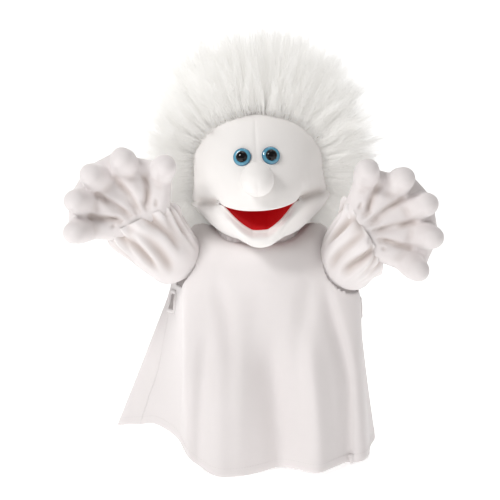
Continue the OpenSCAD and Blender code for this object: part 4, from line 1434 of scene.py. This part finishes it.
class PUPPET_OT_gloves(bpy.types.Operator):
    """Makes the two stuffed gloves, each with a palm and five digits"""

    bl_idname = "puppet.gloves"
    bl_label = "Gloves"

    # Width that the palm's creases are dealt over
    PALM = 40

    def solid(self, arm):
        """Rounded bars for the palm and the digits, as one list of points and faces."""
        sizes = settings().glove
        parts = []
        lift = np.array([0, 3.0, 0])
        for k in range(5):
            radius = (sizes.thumb if k == 0 else sizes.digit) / MM
            spread = (0.5 - k / 4) * 2
            base = arm.wrist + arm.out * -3 + arm.across * spread * 24
            knuckle, point, ray = arm.knuckles[k], arm.points[k], arm.rays[k]
            parts.append(capsule(base, knuckle + ray * 4, 14.0, 12.5))
            heel = arm.wrist + arm.out * 16 + arm.across * spread * 25 + lift
            parts.append(capsule(heel, mix(heel, knuckle, 0.6) + lift, 14.5, 13))
            bend = knuckle + point * 14 + ray * 5
            tip = knuckle + point * (47 - radius)
            parts.append(capsule(knuckle + ray * 4 + lift, bend, radius, radius))
            parts.append(capsule(bend, tip, radius, radius - 2.2))
            if k < 4:
                other, ray2 = arm.knuckles[k + 1], arm.rays[k + 1]
                reach = 17.0 if k else 8.0
                for out_by, thick in ((reach, 9.5), (reach - 14, 12.0), (reach - 28, 12.0)):
                    parts.append(capsule(knuckle + ray * out_by + lift, other + ray2 * out_by + lift,
                                         thick, thick))
        return joined(parts)

    def folds(self, arm):
        """Creases of the palm between the digits, across their roots and from the wrist."""
        folds = []

        def wrist_point(share, out_by, forward):
            return arm.wrist + arm.out * out_by + arm.across * share * self.PALM + FRONT * forward

        for k in range(4):
            a, b = arm.knuckles[k], arm.knuckles[k + 1]
            web = (a + b) / 2 + FRONT * 9 + (arm.rays[k] + arm.rays[k + 1]) * 2.0
            heel = wrist_point(0.5 - (k + 0.5) / 4, 4, 15)
            bow = mix(heel, web, 0.5) + arm.across * (2.0 - k) * 1.6 + FRONT * 2
            folds.append((spline([heel, bow, web], np.linspace(0, 1, 12)), 6.5, 2.8))
        for k in range(5):
            a = arm.knuckles[k] + FRONT * 13 - arm.rays[k] * 8
            side = unit(np.cross(arm.rays[k], FRONT))
            folds.append(([a - side * 13, a + FRONT * 1.5, a + side * 13], 4.0, 3.0))
            share = 0.5 - k / 4
            first = wrist_point(share, 1, 15)
            reach = arm.knuckles[k] - arm.wrist - arm.across * share * self.PALM
            ray_end = first + reach * 0.62
            ridge = [first, mix(first, ray_end, 0.5) + FRONT * 2, ray_end + FRONT * 2]
            folds.append((ridge, -2.0, 3.6))
            for off, run in ((4.5, 0.42), (-4.0, 0.3)):
                start = first + arm.across * off
                folds.append(([start, mix(start, ray_end, run) + FRONT], 3.6, 1.8))
        return folds

    def execute(self, context):
        sizes = settings().glove
        for side in SIDES:
            arm = Arm(side)
            points, faces = self.solid(arm)
            glove = new_object(f"{side}_glove", points, faces, finish("Glove velour"))
            modifier(glove, "REMESH", mode="VOXEL", voxel_size=sizes.grain)
            modifier(glove, "SMOOTH", factor=0.5, iterations=7)
            bake(glove)
            folds = self.folds(arm)
            # painted shade: the palm's creases are marked for the velour to darken
            mark(glove.data, "crease", 0.75 * crease_shade(mesh_points(glove.data), folds))
            at = folded(mesh_points(glove.data), mesh_normals(glove.data), folds)
            move_points(glove, at)
            modifier(glove, "SMOOTH", factor=0.5, iterations=2)
            bake(glove)
            self.deal(glove, arm)
        return {"FINISHED"}

    def deal(self, glove, arm):
        """Splits the glove into its palm and digits, as separate pieces."""
        at = mesh_points(glove.data)
        polygons = [tuple(p.vertices) for p in glove.data.polygons]
        normals = mesh_normals(glove.data)
        centres = np.array([at[list(p)].mean(0) for p in polygons])
        owner = np.full(len(polygons), -1)
        best = np.full(len(polygons), 1e9)
        for k in range(5):
            base, point = arm.knuckles[k], arm.points[k]
            depth = (centres - base) @ point
            far, _ = distance_to_path(centres, [base, base + point * 16 + arm.rays[k] * 4,
                                                base + point * 36])
            mine = (depth > 7) & (far < best)
            owner = np.where(mine, k, owner)
            best = np.where(mine, far, best)
        # the painted shade of the creases goes along to each piece
        crease = np.zeros(len(at), np.float32)
        glove.data.attributes["crease"].data.foreach_get("value", crease)
        for k in range(-1, 5):
            chosen = [polygons[i] for i in np.nonzero(owner == k)[0]]
            used = sorted({v for p in chosen for v in p})
            index = {v: i for i, v in enumerate(used)}
            name = f"{arm.side}_palm_cover" if k < 0 else f"{arm.side}_{DIGITS[k]}_cover"
            mesh = bpy.data.meshes.new(name)
            mesh.from_pydata((at[used] * MM).tolist(), [],
                             [tuple(index[v] for v in p) for p in chosen])
            mark(mesh, "crease", crease[used])
            mesh.materials.append(finish("Glove velour"))
            mesh.shade_smooth()
            mesh.normals_split_custom_set_from_vertices([Vector(normals[v]) for v in used])
            piece = bpy.data.objects.new(name, mesh)
            bpy.context.scene.collection.objects.link(piece)
            if k < 0:
                (arm.wrist - arm.out * 6) * MM
                (arm.wrist + arm.out * 14) * MM
                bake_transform(piece)
                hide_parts(f"{arm.side}_palm", f"{arm.side}_hand_back")
            else:
                base, point = arm.knuckles[k], arm.points[k]
                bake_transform(piece)
                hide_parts(f"{arm.side}_{DIGITS[k]}")
        bpy.data.objects.remove(glove)


# ---------------------------------------------------------------- stage


class PUPPET_OT_stage(bpy.types.Operator):
    """Sets up the floor, the lights and the camera"""

    bl_idname = "puppet.stage"
    bl_label = "Stage"

    def execute(self, context):
        scene = context.scene
        low = CAD_BOX[0][2] / MM - 1.0
        radius = 700.0
        line = [(-2600, 0), (900, 0)]
        line += [(900 + radius * math.sin(q), radius * (1 - math.cos(q)))
                 for q in np.radians(np.linspace(6, 90, 15))]
        line += [(1600, 3200)]
        rows = np.array([[(x, y, low + z) for x in (-3600.0, 3600.0)] for y, z in line])
        s = Shader("Studio paper")
        paper = s.surface(Base_Color=(0.93, 0.93, 0.93, 1), Roughness=0.95,
                          Emission_Color=(1, 1, 1, 1), Emission_Strength=0.6)
        sweep = new_object("backdrop", rows, grid_faces(len(rows), 2), paper,
                           centre=(0, 3000, -3000))
        world = bpy.data.worlds.new("Studio")
        world.use_nodes = True
        sky = world.node_tree.nodes["Background"]
        sky.inputs["Color"].default_value = (1.0, 0.95, 0.92, 1)
        sky.inputs["Strength"].default_value = 0.20
        scene.world = world
        lamps = (("key", (-900, -1000, 950), 12.0, 420), ("fill", (1100, -900, 300), 1.1, 900),
                 ("top", (100, -100, 1500), 4.5, 700), ("back", (-900, 900, 700), 3.0, 900))
        for name, place, watts, size in lamps:
            light = bpy.data.lights.new(name, "AREA")
            light.energy, light.size = watts, size * MM
            lamp = bpy.data.objects.new(name, light)
            lamp.location = Vector(place) * MM
            lamp.rotation_euler = (-lamp.location).to_track_quat("-Z", "Y").to_euler()
            scene.collection.objects.link(lamp)
        camera = bpy.data.objects.new("camera", bpy.data.cameras.new("camera"))
        camera.data.lens, camera.data.sensor_width = 100.0, 36.0
        lift = math.radians(6)
        aim = Vector((-9.0, 0, 0)) * MM
        camera.location = aim + Vector((0, -math.cos(lift), math.sin(lift))) * 1.6
        camera.rotation_euler = (aim - camera.location).to_track_quat("-Z", "Y").to_euler()
        scene.collection.objects.link(camera)
        scene.camera = camera
        scene.view_settings.view_transform = "Standard"
        return {"FINISHED"}


# ---------------------------------------------------------------- add-on

OPERATORS = (PUPPET_OT_finishes, PUPPET_OT_face, PUPPET_OT_mouth, PUPPET_OT_nose,
             PUPPET_OT_eyes, PUPPET_OT_fur, PUPPET_OT_neck, PUPPET_OT_robe,
             PUPPET_OT_sleeves, PUPPET_OT_gloves, PUPPET_OT_stage)


class PUPPET_PT_panel(bpy.types.Panel):
    """Lists the puppet's pieces and its settings"""

    bl_idname = "PUPPET_PT_panel"
    bl_label = "Hand puppet"
    bl_space_type = "VIEW_3D"
    bl_region_type = "UI"
    bl_category = "Puppet"

    def draw(self, context):
        for operator in OPERATORS:
            self.layout.operator(operator.bl_idname)
        for group in ("colours", "head", "fur", "cloth", "glove"):
            box = self.layout.box()
            box.label(text=group.title())
            values = getattr(context.scene.puppet, group)
            for key in values.bl_rna.properties.keys():
                if key not in ("rna_type", "name"):
                    box.prop(values, key)


CLASSES = (PuppetColours, PuppetHead, PuppetFur, PuppetCloth, PuppetGlove, PuppetSettings,
           *OPERATORS, PUPPET_PT_panel)


def register():
    for cls in CLASSES:
        bpy.utils.register_class(cls)
    bpy.types.Scene.puppet = bpy.props.PointerProperty(type=PuppetSettings)


def unregister():
    del bpy.types.Scene.puppet
    for cls in reversed(CLASSES):
        bpy.utils.unregister_class(cls)


def main():
    register()
    for operator in OPERATORS:
        group, name = operator.bl_idname.split(".")
        getattr(getattr(bpy.ops, group), name)()


if __name__ == "__main__":
    main()
